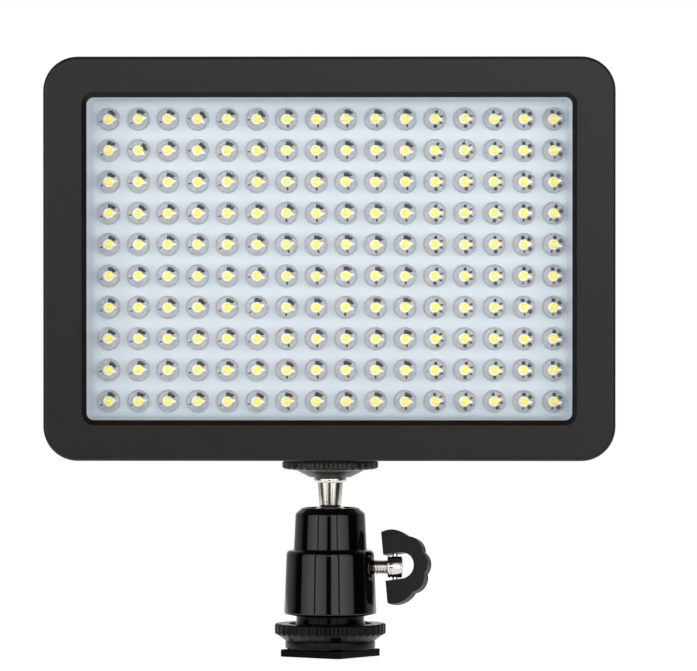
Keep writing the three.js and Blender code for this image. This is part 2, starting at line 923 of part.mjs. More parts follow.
// The battery plate: a channel whose rails hook inwards, with a stop wall at its lower end.
function batteryPlate() {
  const half = plateWidth / 2;
  const inner = half - railWall;
  const railTop = plateBase + railHeight;
  const hookLow = railTop - railHookThickness;
  const section = new THREE.Shape([
    new THREE.Vector2(-half, 0),
    new THREE.Vector2(half, 0),
    new THREE.Vector2(half, railTop),
    new THREE.Vector2(inner - railHook, railTop),
    new THREE.Vector2(inner - railHook, hookLow),
    new THREE.Vector2(inner, hookLow),
    new THREE.Vector2(inner, plateBase),
    new THREE.Vector2(-inner, plateBase),
    new THREE.Vector2(-inner, hookLow),
    new THREE.Vector2(-inner + railHook, hookLow),
    new THREE.Vector2(-inner + railHook, railTop),
    new THREE.Vector2(-half, railTop),
  ]);
  const channel = prism(section, plateLow, railHigh)
    .scale(-1, 1, 1)
    .translate(0, rearY, 0);
  flipFaces(channel);
  const tail = block([-half, rearY, railHigh - overrun], [half, plateFloorY, plateHigh]);
  const stop = block(
    [-half, rearY, plateLow],
    [half, rearY + railTop, plateLow + stopWall],
  );
  const middle = (plateLow + railHigh) / 2;
  const notches = [-1, 1].map((side) => {
    const near = side * (inner - railHook - overrun);
    const far = side * inner;
    return block(
      [Math.min(near, far), rearY + hookLow - fitGap, middle - railNotch / 2],
      [Math.max(near, far), rearY + railTop + overrun, middle + railNotch / 2],
    );
  });
  const screwHoles = plateScrews().flatMap(([x, z]) => [
    barY(screwShank + fitGap, rearY - overrun, plateFloorY + overrun, x, z, screwSides),
    barY(
      screwHead + fitGap,
      plateFloorY - screwHeadHeight - fitGap,
      plateFloorY + overrun,
      x,
      z,
      screwSides,
    ),
  ]);
  const window = block(
    [-releaseWidth / 2 - restGap, rearY - overrun, pocketLowZ],
    [releaseWidth / 2 + restGap, plateFloorY + overrun, pocketHighZ],
  );
  return cut(join(channel, tail, stop), ...notches, ...screwHoles, window);
}

// Turns every face round, for a geometry that was mirrored.
function flipFaces(geometry) {
  const position = geometry.getAttribute("position");
  for (let corner = 0; corner < position.count; corner += 3) {
    const [x, y, z] = [position.getX(corner), position.getY(corner), position.getZ(corner)];
    const other = corner + 2;
    position.setXYZ(corner, position.getX(other), position.getY(other), position.getZ(other));
    position.setXYZ(other, x, y, z);
  }
}

const blockLowZ = plateLow + stopWall;
const blockHighZ = blockLowZ + blockHeight;
const contactPlaces = () =>
  Array.from({ length: contactCount }, (_, i) => (i - (contactCount - 1) / 2) * contactPitch);

function contactBlock() {
  const body = block(
    [-blockWidth / 2, plateFloorY, blockLowZ],
    [blockWidth / 2, plateFloorY + blockThickness, blockHighZ],
  );
  const slots = contactPlaces().map((x) => {
    const half = contactThickness / 2 + fitGap;
    const low = plateFloorY + (blockThickness - contactDepth) / 2 - fitGap;
    return block(
      [x - half, low, blockHighZ - contactSeat - fitGap],
      [x + half, low + contactDepth + 2 * fitGap, blockHighZ + overrun],
    );
  });
  return cut(body, ...slots);
}

function contact() {
  const low = plateFloorY + (blockThickness - contactDepth) / 2;
  return block(
    [-contactThickness / 2, low, blockHighZ - contactSeat],
    [contactThickness / 2, low + contactDepth, blockHighZ + contactReach],
  );
}

// The release: a tooth that catches the battery's end, a thumb pad, and a flange behind the plate.
function batteryRelease() {
  const half = releaseWidth / 2;
  const low = flangeBackY;
  const flangeFront = flangeBackY + releaseLipThickness;
  const slab = block([-half, low, releaseLowZ], [half, plateFloorY - fitGap, releaseHighZ]);
  const flange = block(
    [-half - releaseLip, low, releaseLowZ],
    [half + releaseLip, flangeFront, releaseHighZ],
  );
  const toothShape = new THREE.Shape([
    new THREE.Vector2(low, releaseLowZ),
    new THREE.Vector2(plateFloorY + releaseTooth, releaseLowZ),
    new THREE.Vector2(plateFloorY + releaseTooth, releaseLowZ + releaseToothHeight / 2),
    new THREE.Vector2(plateFloorY - fitGap, releaseLowZ + releaseToothHeight),
    new THREE.Vector2(low, releaseLowZ + releaseToothHeight),
  ]);
  const pad = block(
    [-half, low, releaseHighZ - releasePadHeight],
    [half, plateFloorY + releasePad, releaseHighZ],
  );
  return join(slab, flange, yzPrism(toothShape, -half, half), pad);
}

// Extrudes a shape drawn in y and z from one x to another.
function yzPrism(shape, from, to) {
  return prism(shape, from, to).rotateY(Math.PI / 2).rotateX(Math.PI / 2);
}

// The release's coil spring, as a sleeve of its outer size.
function releaseSpring() {
  const inner = springRadius - springWire;
  const profile = [
    [inner, pocketFloorY],
    [springRadius, pocketFloorY],
    [springRadius, flangeBackY],
    [inner, flangeBackY],
  ];
  return alongY(turnedRing(profile, coarseSides));
}

// Pieces of the ball head

function shoeFoot() {
  const half = footSide / 2;
  const near = half - footCorner;
  const outline = new THREE.Shape([
    new THREE.Vector2(near, -half),
    new THREE.Vector2(half, -near),
    new THREE.Vector2(half, near),
    new THREE.Vector2(near, half),
    new THREE.Vector2(-near, half),
    new THREE.Vector2(-half, near),
    new THREE.Vector2(-half, -near),
    new THREE.Vector2(-near, -half),
  ]);
  return cut(
    prism(outline, 0, footThickness),
    bar(postRadius + fitGap, -overrun, footThickness + overrun, midSides),
    bar(postHeadRadius + fitGap, -overrun, postHeadHeight, midSides),
  );
}

const plugTopZ = bevelZ + plugLength;
const postTopZ = plugTopZ - plugWall - fitGap;

function shoePost() {
  return turned(
    [
      [0, 0],
      [postHeadRadius, 0],
      [postHeadRadius, postHeadHeight - fitGap],
      [postRadius, postHeadHeight - fitGap],
      [postRadius, postTopZ],
      [0, postTopZ],
    ],
    midSides,
  );
}

function pressureRing() {
  const high = ringZ + ringThickness;
  return turnedRing(
    [
      [postRadius + fitGap, ringZ],
      [ringRadius - ringEdge, ringZ],
      [ringRadius, ringZ + ringEdge],
      [ringRadius, high],
      [postRadius + fitGap, high],
    ],
    fineSides,
  );
}

function lockWheel() {
  const bore = postRadius + fitGap;
  const rim = wheelRadius - toothDepth;
  const core = turnedRing(
    [
      [bore, wheelZ],
      [wheelUnderRadius, wheelZ],
      [rim, wheelFloorZ],
      [rim, wheelTopZ],
      [wheelDish, wheelTopZ],
      [wheelDishFloor, wheelFloorZ],
      [bore, wheelFloorZ],
    ],
    fineSides,
  );
  const teeth = cut(
    prism(toothedShape(wheelRadius, toothDepth, wheelTeeth), wheelFloorZ, wheelTopZ),
    bar((wheelDish + rim) / 2, wheelFloorZ - overrun, wheelTopZ + overrun, fineSides),
  );
  return join(core, teeth);
}

// The plug closes the housing from below, and the post screws into it.
function basePlug() {
  const profile = [
    [0, neckZ],
    [neckRadius + neckFoot, neckZ],
    [neckRadius, neckZ + neckFoot],
    [neckRadius, bevelZ],
    [plugRadius, bevelZ],
    [plugRadius, plugTopZ],
    [0, plugTopZ],
  ];
  return cut(
    turned(profile, fineSides),
    bar(postRadius + fitGap, neckZ - overrun, postTopZ + fitGap, midSides),
  );
}

const socketRadius = ballRadius + fitGap;

// A sphere's meridian about the ball's centre, as [radius, height] pairs between two angles from straight down.
function meridian(radius, fromAngle, toAngle, steps) {
  return Array.from({ length: steps + 1 }, (_, step) => {
    const angle = degrees(fromAngle + ((toAngle - fromAngle) * step) / steps);
    return [radius * Math.sin(angle), ballZ - radius * Math.cos(angle)];
  });
}

function ballHousing() {
  const outside = turned(
    [
      [0, bevelZ],
      [neckRadius, bevelZ],
      [lowerRadius, lowerZ],
      [lowerTopRadius, shoulderZ - shoulderEdge],
      [lowerTopRadius - shoulderEdge, shoulderZ],
      [upperRadius, shoulderZ],
      [upperTopRadius, upperTopZ],
      [mouthOuterRadius, mouthZ],
      [0, mouthZ],
    ],
    fineSides,
  );
  const mouthAngle = 180 - THREE.MathUtils.radToDeg(Math.asin(mouthRadius / socketRadius));
  const bore = turned(
    [
      [0, bevelZ - overrun],
      [plugRadius + fitGap, bevelZ - overrun],
      [plugRadius + fitGap, plugTopZ + fitGap],
      [socketRadius, plugTopZ + fitGap],
      ...meridian(socketRadius, 90, mouthAngle, 3),
      [mouthFlare, mouthZ],
      [mouthFlare, mouthZ + overrun],
      [0, mouthZ + overrun],
    ],
    fineSides,
  );
  const screwHole = alongX(bar(pressurePlugRadius + fitGap, 0, lowerRadius + overrun, coarseSides));
  return cut(outside, bore, screwHole.translate(0, 0, lockZ));
}

function ballStem() {
  const neckAngle = 180 - THREE.MathUtils.radToDeg(Math.asin(neckLowRadius / ballRadius));
  const studEnd = lightZ + studReach;
  return turned(
    [
      ...meridian(ballRadius, 0, neckAngle, 7),
      [neckTopRadius, collarZ],
      [collarRadius, collarZ],
      [collarRadius, collarZ + collarHeight],
      [studRadius, collarZ + collarHeight],
      [studRadius, studEnd],
      [0, studEnd],
    ],
    fineSides,
  );
}

// The seat: a cup under the ball, over a cone that the pressure plug wedges up.
function ballSeat() {
  const tipZ = ballZ - seatLow;
  const guide = ballRadius;
  const coneTop = tipZ + (guide - seatTipRadius);
  const rimZ = ballZ - seatGuide;
  const rimAngle = THREE.MathUtils.radToDeg(Math.acos(seatGuide / socketRadius));
  return turned(
    [
      [0, tipZ],
      [seatTipRadius, tipZ],
      [guide, coneTop],
      [guide, rimZ],
      ...meridian(socketRadius, rimAngle, 0, 4),
    ],
    fineSides,
  );
}

// The plug's tip is a cone parallel to the seat's, a running gap away from it.
function pressurePlug() {
  const coneAtAxis = seatTipRadius + (seatLow - lockDrop);
  const tip = coneAtAxis + runningGap * Math.SQRT2;
  return alongX(
    turned(
      [
        [0, tip + pressureTipRadius],
        [pressureTipRadius, tip + pressureTipRadius],
        [pressurePlugRadius, tip + pressurePlugRadius],
        [pressurePlugRadius, screwInnerEnd - runningGap],
        [0, screwInnerEnd - runningGap],
      ],
      coarseSides,
    ),
  );
}

function lockScrew() {
  const headEnd = headStart + headLength;
  const screw = alongX(
    turned(
      [
        [0, screwInnerEnd],
        [screwRadius, screwInnerEnd],
        [screwRadius, headStart],
        [headRadius, headStart],
        [headRadius, headEnd - headEdge],
        [headRadius - headEdge, headEnd],
        [0, headEnd],
      ],
      midSides,
    ),
  );
  const cross = bar(wingPinRadius + fitGap, -headRadius - overrun, headRadius + overrun, screwSides);
  return cut(screw, cross.translate(pinX, 0, 0));
}

const pinX = headStart + headLength / 2;

const wingPin = () => bar(wingPinRadius, -wingPinReach, wingPinReach, screwSides);

// The rounds that make the wing's edge, as [x, y, radius] from the pin: an arm, three lobes and an arm.
const wingRounds = [
  [-armShift, -armRise, armRadius],
  ...[-lobePitch, 0, lobePitch].map((turn) => {
    const centre = lobePeak - lobeRadius;
    return [centre * Math.cos(degrees(turn)), centre * Math.sin(degrees(turn)), lobeRadius];
  }),
  [-armShift, armRise, armRadius],
];

// How far the wing's edge is from the pin at an angle: as far as the furthest round.
function wingReach(angle) {
  const way = new THREE.Vector2(Math.cos(angle), Math.sin(angle));
  const reaches = wingRounds.map(([x, y, radius]) => {
    const centre = new THREE.Vector2(x, y);
    const along = centre.dot(way);
    const across = centre.cross(way);
    return Math.abs(across) < radius ? along + Math.sqrt(radius ** 2 - across ** 2) : 0;
  });
  return Math.max(...reaches);
}

// The wing's outline about the pin: three lobes between two arms, and a slot for the screw's head.
function wingShape() {
  const steps = 15; // from the middle of the front lobe to an arm's end
  const top = armRise + Math.sqrt(armRadius ** 2 - (wingArm - armShift) ** 2);
  const end = Math.atan2(top, -wingArm);
  const notches = [lobePitch / 2, (3 * lobePitch) / 2].map(degrees);
  const even = Array.from({ length: steps + 1 }, (_, step) => (end * step) / steps);
  const angles = [...even, ...notches].sort((a, b) => a - b);
  const half = angles.map((angle) => new THREE.Vector2(Math.cos(angle), Math.sin(angle)).multiplyScalar(wingReach(angle)));
  const mirrored = half.slice(1).reverse().map(({ x, y }) => new THREE.Vector2(x, -y));
  const shape = new THREE.Shape([...mirrored, ...half]);
  shape.lineTo(-wingArm, wingSlot);
  shape.lineTo(wingSlotCentre, wingSlot);
  shape.absarc(wingSlotCentre, 0, wingSlot, Math.PI / 2, -Math.PI / 2, true);
  shape.lineTo(-wingArm, -wingSlot);
  return shape;
}

function wing() {
  const plate = new THREE.ExtrudeGeometry(wingShape(), {
    depth: wingThickness - 2 * wingEdge,
    bevelEnabled: true,
    bevelThickness: wingEdge,
    bevelSize: wingEdge,
    bevelOffset: -wingEdge,
    bevelSegments: 1,
    curveSegments: coarseSides / 2,
  });
  plate.translate(0, 0, wingEdge - wingThickness / 2);
  plate.rotateZ(degrees(wingLean)).rotateX(Math.PI / 2);
  const reach = wingPinReach + fitGap;
  return cut(plate, bar(wingPinRadius + fitGap, -reach, reach, screwSides));
}

function lockDisc() {
  const bore = studRadius + fitGap;
  const rim = discRadius - toothDepth;
  const core = turnedRing(
    [
      [bore, discZ],
      [discLipRadius, discZ],
      [discConeRadius, discZ + discConeHeight],
      [rim, discRimZ],
      [rim, padZ],
      [bore, padZ],
    ],
    fineSides,
  );
  const teeth = cut(
    prism(toothedShape(discRadius, toothDepth, discTeeth), discRimZ, padZ),
    bar(padRadius - toothDepth, discRimZ - overrun, padZ + overrun, fineSides),
  );
  return join(core, teeth);
}

function frictionPad() {
  const bore = studRadius + fitGap;
  const high = padZ + padThickness;
  return turnedRing([[bore, padZ], [padRadius, padZ], [padRadius, high], [bore, high]], fineSides);
}

// Materials

const finish = (color, roughness, metalness = 0) =>
  new THREE.MeshStandardMaterial({ color, roughness, metalness });

const materials = {
  satinBlack: finish(0x2b2a28, 0.5),
  whitePlastic: finish(0xdfe5ea, 0.45),
  led: finish(0xe9edc8, 0.2),
  board: finish(0x1d5c33, 0.5),
  blackPlastic: finish(0x161616, 0.6),
  zinc: finish(0xa8a8a8, 0.35, 1),
  brass: finish(0xb5954a, 0.35, 1),
  chrome: finish(0xd8d8d8, 0.12, 1),
  glossBlack: finish(0x0b0b0b, 0.15, 0.3),
  blackMetal: finish(0x1a1a1a, 0.45, 0.4),
  rubber: finish(0x141414, 0.85),
  acetal: finish(0xe6e3da, 0.5),
  copper: finish(0xb4673a, 0.4, 1),
  gold: finish(0xc9a24a, 0.3, 1),
  smoke: finish(0x6b2020, 0.3),
};

function piece(name, shape, material, place = [0, 0, 0]) {
  const geometry = shape.isBufferGeometry ? shape : toGeometry(shape);
  const mesh = new THREE.Mesh(geometry, material);
  mesh.name = name;
  mesh.position.set(...place);
  return mesh;
}

// Copies of one shape at a list of places, named with a running number.
const copies = (name, makeShape, material, places) =>
  places.map((place, i) => piece(`${name}_${i + 1}`, makeShape(), material, place));

// The light, in its own group at the panel's centre

function screwMeshes() {
  const facingRear = (shape) => alongY(shape);
  const facingFront = (shape) => alongY(shape).rotateX(Math.PI);
  const small = () => screwGeometry(screwShank, screwLength, screwHead, screwHeadHeight);
  const large = () =>
    screwGeometry(
      housingScrewShank,
      housingScrewLength,
      housingScrewHead,
      housingScrewHeadHeight,
    );
  const seat = plateFloorY - screwHeadHeight - fitGap;
  return [
    ...copies(
      "housing_screw",
      () => facingRear(large()),
      materials.zinc,
      corners(towerX, towerZ).map(([x, z]) => [x, partingY + towerFloor, z]),
    ),
    ...copies(
      "led_board_screw",
      () => facingRear(small()),
      materials.zinc,
      corners(boardPostX, boardPostZ).map(([x, z]) => [x, boardBackY, z]),
    ),
    ...copies(
      "driver_screw",
      () => facingFront(small()),
      materials.zinc,
      [1, -1].map((side) => [side * driverPostX, driverY, side * driverPostZ]),
    ),
    ...copies(
      "plate_screw",
      () => facingRear(small()),
      materials.zinc,
      plateScrews().map(([x, z]) => [x, seat, z]),
    ),
  ];
}

function electronics() {
  return [
    piece("driver_board", driverBoard(), materials.board),
    piece("board_connector", boardConnector(), materials.blackPlastic),
    piece("inductor", inductor(), materials.copper, [inductorX, driverBackY, inductorZ]),
    ...copies(
      "capacitor",
      capacitor,
      materials.zinc,
      [0, 1].map((i) => [capacitorX, driverBackY, -capacitorZ - i * capacitorPitch]),
    ),
    piece("driver_chip", driverChip(), materials.blackPlastic, [-chipX, driverBackY, 0]),
    piece("dimmer_pot", dimmerPot(), materials.zinc, [-dimmerX, 0, dimmerZ]),
    piece("pot_nut", potNut(), materials.zinc, [-dimmerX, 0, dimmerZ]),
    piece("test_switch", testSwitch(), materials.blackPlastic, [-dimmerX, 0, testZ]),
    ...copies(
      "gauge_light",
      gaugeLight,
      materials.smoke,
      gaugePlaces().map((x) => [x, 0, gaugeZ]),
    ),
    piece("power_jack", powerJack(), materials.blackPlastic, [dimmerX, 0, jackZ]),
  ];
}

function batteryBay() {
  return [
    piece("battery_plate", batteryPlate(), materials.blackPlastic),
    piece("contact_block", contactBlock(), materials.blackPlastic),
    ...copies("contact", contact, materials.gold, contactPlaces().map((x) => [x, 0, 0])),
    piece("battery_release", batteryRelease(), materials.satinBlack),
    piece("release_spring", releaseSpring(), materials.zinc, [0, 0, releaseMiddleZ]),
  ];
}

function lightGroup() {
  const group = new THREE.Group();
  group.position.set(0, 0, panelZ);
  const knob = piece("dimmer_knob", dimmerKnob(), materials.satinBlack, [-dimmerX, 0, dimmerZ]);
  knob.rotation.y = degrees(knobTurn);
  group.add(
    piece("front_bezel", frontBezel(), materials.satinBlack),
    piece("reflector_frame", reflectorFrame(), materials.whitePlastic),
    piece("led_board", ledBoard(), materials.led),
    piece("rear_housing", rearHousing(), materials.satinBlack),
    piece("tripod_insert", tripodInsert(), materials.brass),
    piece("pot_shaft", potShaft(), materials.zinc, [-dimmerX, 0, dimmerZ]),
    knob,
    piece("test_button", testButton(), materials.satinBlack, [-dimmerX, 0, testZ]),
    ...screwMeshes(),
    ...electronics(),
    ...batteryBay(),
  );
  return group;
}

// The ball head, with the lock screw and its wing in turned groups of their own

function lockGroup() {
  const group = new THREE.Group();
  group.position.set(0, 0, lockZ);
  const turning = new THREE.Group();
  turning.rotation.x = degrees(screwTurn);
  const folding = new THREE.Group();
  folding.position.set(pinX, 0, 0);
  folding.rotation.z = degrees(wingTurn);
  folding.add(piece("wing", wing(), materials.blackMetal));
  turning.add(
    piece("lock_screw", lockScrew(), materials.chrome),
    piece("wing_pin", wingPin(), materials.chrome, [pinX, 0, 0]),
    folding,
  );
  group.add(piece("pressure_plug", pressurePlug(), materials.acetal), turning);
  return group;
}

function headGroup() {
  const group = new THREE.Group();
  const foot = piece("shoe_foot", shoeFoot(), materials.blackMetal);
  foot.rotation.z = degrees(footTurn);
  group.add(
    foot,
    piece("shoe_post", shoePost(), materials.zinc),
    piece("pressure_ring", pressureRing(), materials.blackMetal),
    piece("lock_wheel", lockWheel(), materials.blackMetal),
    piece("base_plug", basePlug(), materials.glossBlack),
    piece("ball_housing", ballHousing(), materials.glossBlack),
    piece("ball_seat", ballSeat(), materials.acetal),
    piece("ball_stem", ballStem(), materials.chrome),
    piece("lock_disc", lockDisc(), materials.blackMetal),
    piece("friction_pad", frictionPad(), materials.rubber),
    lockGroup(),
  );
  return group;
}

const videoLight = new THREE.Group();
videoLight.add(headGroup(), lightGroup());

export default videoLight;
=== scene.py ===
"""Looks of the LED video light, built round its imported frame.

A dark moulded panel holds a white well with a grid of straw-hat LEDs, and it
stands on a ball head with a shoe foot. A piece is in millimetres while it is
on the bench; once settled it is in metres, in the frame's own place.
"""

import json
import logging
import math
import random
from collections.abc import Callable, Iterator, Sequence
from contextlib import contextmanager
from dataclasses import dataclass
from enum import Enum

import bmesh
import bpy
from mathutils import Matrix, Vector

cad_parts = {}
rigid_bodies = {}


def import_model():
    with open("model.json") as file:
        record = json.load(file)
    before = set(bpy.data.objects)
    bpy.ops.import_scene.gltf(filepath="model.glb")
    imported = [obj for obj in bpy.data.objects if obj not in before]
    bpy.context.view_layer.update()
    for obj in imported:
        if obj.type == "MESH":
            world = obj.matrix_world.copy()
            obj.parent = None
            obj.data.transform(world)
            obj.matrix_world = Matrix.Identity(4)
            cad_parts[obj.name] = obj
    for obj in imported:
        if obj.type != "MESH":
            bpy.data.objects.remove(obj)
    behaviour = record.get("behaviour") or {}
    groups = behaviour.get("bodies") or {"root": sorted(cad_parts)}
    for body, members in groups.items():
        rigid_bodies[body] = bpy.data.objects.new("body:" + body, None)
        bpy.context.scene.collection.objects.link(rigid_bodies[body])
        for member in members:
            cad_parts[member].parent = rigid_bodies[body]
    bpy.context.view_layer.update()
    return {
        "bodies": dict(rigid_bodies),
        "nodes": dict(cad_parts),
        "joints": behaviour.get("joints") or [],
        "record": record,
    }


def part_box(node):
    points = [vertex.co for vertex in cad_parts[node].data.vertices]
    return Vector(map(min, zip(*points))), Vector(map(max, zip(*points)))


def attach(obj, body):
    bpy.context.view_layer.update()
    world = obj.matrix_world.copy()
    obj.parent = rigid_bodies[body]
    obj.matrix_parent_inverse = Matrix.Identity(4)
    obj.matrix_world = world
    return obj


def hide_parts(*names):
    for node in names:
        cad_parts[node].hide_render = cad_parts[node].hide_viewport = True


MM = 0.001
EPS = 0.01
OVERRUN = 1.0
SHARP = 0.3
PARALLEL = 0.99
FLAT_ANGLE = math.radians(0.5)
GROOVE = (0.45, 0.9)

Piece = bpy.types.Object
Node = bpy.types.Node
Socket = bpy.types.NodeSocket
Colour = tuple[int, int, int]
Pair = tuple[float, float]
Triple = tuple[float, float, float]
Profile = Sequence[Pair]

log = logging.getLogger("video_light")


# The bench: modelling operators, used as by hand


def clear() -> None:
    """Deselects everything."""
    bpy.ops.object.select_all(action="DESELECT")


def hold(piece: Piece) -> None:
    """Makes one piece the only selected one, and the active one.

    Args:
        piece: The piece to hold.
    """
    clear()
    piece.select_set(True)
    bpy.context.view_layer.objects.active = piece


@contextmanager
def editing(piece: Piece) -> Iterator[None]:
    """Keeps a piece in edit mode, with its vertices shown, for a block of operators.

    Args:
        piece: The piece to edit.
    """
    hold(piece)
    bpy.ops.object.mode_set(mode="EDIT")
    bpy.ops.mesh.select_mode(type="VERT")
    yield
    bpy.ops.object.mode_set(mode="OBJECT")


def pick(piece: Piece, kind: str, test: Callable[..., bool]) -> None:
    """Selects only the parts of a mesh in edit mode that pass a test.

    Args:
        piece: The piece in edit mode.
        kind: "VERT", "EDGE" or "FACE".
        test: Says whether one part is wanted.
    """
    bpy.ops.mesh.select_mode(type=kind)
    bpy.ops.mesh.select_all(action="DESELECT")
    form = bmesh.from_edit_mesh(piece.data)
    for part in {"VERT": form.verts, "EDGE": form.edges, "FACE": form.faces}[kind]:
        if test(part):
            part.select_set(True)
    bmesh.update_edit_mesh(piece.data)


def modify(piece: Piece, kind: str, **settings: object) -> None:
    """Applies a modifier to a piece.

    Args:
        piece: The piece.
        kind: The modifier's type.
        settings: Properties of the modifier.
    """
    hold(piece)
    modifier = piece.modifiers.new(kind.lower(), kind)
    for key, value in settings.items():
        setattr(modifier, key, value)
    bpy.ops.object.modifier_apply(modifier=modifier.name)


def apply_place(piece: Piece) -> None:
    """Puts a piece's place, turn and scale into its mesh."""
    hold(piece)
    bpy.ops.object.transform_apply(location=True, rotation=True, scale=True)


def moved(piece: Piece, matrix: Matrix) -> Piece:
    """Moves a piece by a matrix and puts that into its mesh.

    Args:
        piece: The piece to move.
        matrix: The move, in millimetres.

    Returns:
        The same piece.
    """
    piece.matrix_world = matrix @ piece.matrix_world
    apply_place(piece)
    return piece


def at(x: float, y: float, z: float) -> Matrix:
    """A shift as a matrix."""
    return Matrix.Translation((x, y, z))


def turn(degrees: float, axis: str) -> Matrix:
    """A turn about a main axis as a matrix."""
    return Matrix.Rotation(math.radians(degrees), 4, axis)


class Facing(Enum):
    """Where the top of a piece that was turned about Z ends up."""

    UP = ("Z", 0.0)
    RIGHT = ("Y", 90.0)
    FRONT = ("X", 90.0)
    BACK = ("X", -90.0)

    def matrix(self) -> Matrix:
        """The turn that points the top this way."""
        return turn(self.value[1], self.value[0])


def even_normals(piece: Piece) -> None:
    """Merges doubled vertices and points all faces outwards.

    Args:
        piece: The piece, which has to be closed.
    """
    with editing(piece):
        bpy.ops.mesh.select_all(action="SELECT")
        bpy.ops.mesh.remove_doubles(threshold=EPS / 10)
        bpy.ops.mesh.normals_make_consistent(inside=False)


def merge_flats(piece: Piece) -> None:
    """Dissolves the edges inside flat areas.

    Args:
        piece: The piece.
    """
    with editing(piece):
        bpy.ops.mesh.select_all(action="SELECT")
        bpy.ops.mesh.dissolve_limited(angle_limit=FLAT_ANGLE)


def turned(name: str, profile: Profile, sides: int = 64, facing: Facing = Facing.UP) -> Piece:
    """Turns a profile about Z, from a circle that is extruded and scaled point by point.

    Args:
        name: The piece's name.
        profile: Radius and height of each point. It starts and ends on the axis, or closes on itself.
        sides: How many sides the round has.
        facing: Where the top ends up.

    Returns:
        The turned piece.
    """
    clear()
    capped = profile[0][0] == 0
    radius, height = profile[1] if capped else profile[0]
    fill = "TRIFAN" if capped else "NOTHING"
    bpy.ops.mesh.primitive_circle_add(vertices=sides, radius=radius, fill_type=fill, location=(0, 0, height))
    piece = bpy.context.object
    piece.name = name
    apply_place(piece)
    with editing(piece):
        if capped:
            pick(piece, "VERT", lambda vertex: vertex.co.xy.length < EPS)
            bpy.ops.transform.translate(value=(0, 0, profile[0][1] - height))
            pick(piece, "EDGE", lambda edge: edge.is_boundary)
        else:
            bpy.ops.mesh.select_all(action="SELECT")
        for next_radius, next_height in profile[2 if capped else 1 :]:
            lift = (0, 0, next_height - height)
            bpy.ops.mesh.extrude_region_move(TRANSFORM_OT_translate={"value": lift})
            if next_radius == 0:
                bpy.ops.mesh.merge(type="CENTER")
                break
            ratio = next_radius / radius
            bpy.ops.transform.resize(value=(ratio, ratio, 1), center_override=(0, 0, next_height))
            radius, height = next_radius, next_height
    even_normals(piece)
    return moved(piece, facing.matrix())


def lifted(base: float, *points: Pair) -> list[Pair]:
    """Points of a profile whose heights count from a base."""
    return [(radius, base + height) for radius, height in points]


def rod(
    name: str, radius: float, low: float, high: float, sides: int = 32, facing: Facing = Facing.UP
) -> Piece:
    """A plain round part between two heights."""
    return turned(name, [(0, low), (radius, low), (radius, high), (0, high)], sides, facing)


def block(
    name: str, low: Sequence[float], high: Sequence[float], corner: float = 0, along: int = 1, steps: int = 8
) -> Piece:
    """A block between two corners, with its edges along one axis rounded.

    Args:
        name: The piece's name.
        low: Lowest corner.
        high: Highest corner.
        corner: Radius of the rounded edges.
        along: Axis of the rounded edges.
        steps: Facets in each rounded edge.

    Returns:
        The block.
    """

    def lies_along(edge: bmesh.types.BMEdge) -> bool:
        """Whether an edge runs along the axis."""
        return abs((edge.verts[1].co - edge.verts[0].co).normalized()[along]) > PARALLEL

    clear()
    middle = [(a + b) / 2 for a, b in zip(low, high)]
    size = [b - a for a, b in zip(low, high)]
    bpy.ops.mesh.primitive_cube_add(size=1, location=middle, scale=size)
    piece = bpy.context.object
    piece.name = name
    apply_place(piece)
    if corner:
        with editing(piece):
            pick(piece, "EDGE", lies_along)
            bpy.ops.mesh.bevel(offset=corner, segments=steps, affect="EDGES")
    return piece


def draw_in(piece: Piece, axis: int, depth: float, scale: Sequence[float], centre: Sequence[float]) -> None:
    """Scales the end of a block that lies at one depth, to give it draft.

    Args:
        piece: The block.
        axis: The axis across that end.
        depth: Where the end lies on that axis.
        scale: Scale on each axis.
        centre: What it is scaled about.
    """
    with editing(piece):
        pick(piece, "VERT", lambda vertex: abs(vertex.co[axis] - depth) < EPS)
        bpy.ops.transform.resize(value=scale, center_override=centre)


def round_end(piece: Piece, depth: float, radius: float, steps: int, reach: float = math.inf) -> None:
    """Rounds or bevels the sharp edges across Y that lie at one depth.

    Args:
        piece: The piece.
        depth: Where they lie on Y.
        radius: How far the bevel reaches.
        steps: Facets in the bevel.
        reach: Only edges whose middle is nearer the centre than this, on X, are rounded.
    """

    def wanted(edge: bmesh.types.BMEdge) -> bool:
        """Whether an edge lies at the depth, is sharp and is within reach.

        Args:
            edge: The edge.

        Returns:
            True where it is rounded.
        """
        near, far = (vertex.co for vertex in edge.verts)
        level = max(abs(near.y - depth), abs(far.y - depth)) < EPS
        return level and edge.calc_face_angle(0) > SHARP and abs(near.x + far.x) / 2 < reach

    with editing(piece):
        pick(piece, "EDGE", wanted)
        bpy.ops.mesh.bevel(offset=radius, segments=steps, affect="EDGES")


def fillet(piece: Piece, width: float, steps: int = 2, angle: float = 35) -> None:
    """Rounds every edge that is sharper than an angle."""
    limit = {"limit_method": "ANGLE", "angle_limit": math.radians(angle)}
    modify(piece, "BEVEL", width=width, segments=steps, **limit)


def joined(pieces: Sequence[Piece], name: str | None = None) -> Piece:
    """Joins pieces into the first one.

    Args:
        pieces: What is joined.
        name: The new name, or the first piece's if there is none.

    Returns:
        The first piece, which now holds them all.
    """
    hold(pieces[0])
    for piece in pieces[1:]:
        piece.select_set(True)
    bpy.ops.object.join()
    pieces[0].name = name or pieces[0].name
    return pieces[0]


def carve(piece: Piece, *tools: Piece, how: str = "DIFFERENCE") -> Piece:
    """Cuts tools out of a piece, or adds them to it, and uses them up.

    Args:
        piece: The piece that is kept.
        tools: The tools, one after the other.
        how: "DIFFERENCE" or "UNION".

    Returns:
        The same piece.
    """
    for tool in tools:
        modify(piece, "BOOLEAN", operation=how, object=tool, solver="EXACT")
        scrap(tool)
    return piece


def scrap(piece: Piece) -> None:
    """Takes a piece off the bench for good."""
    bpy.data.objects.remove(piece, do_unlink=True)


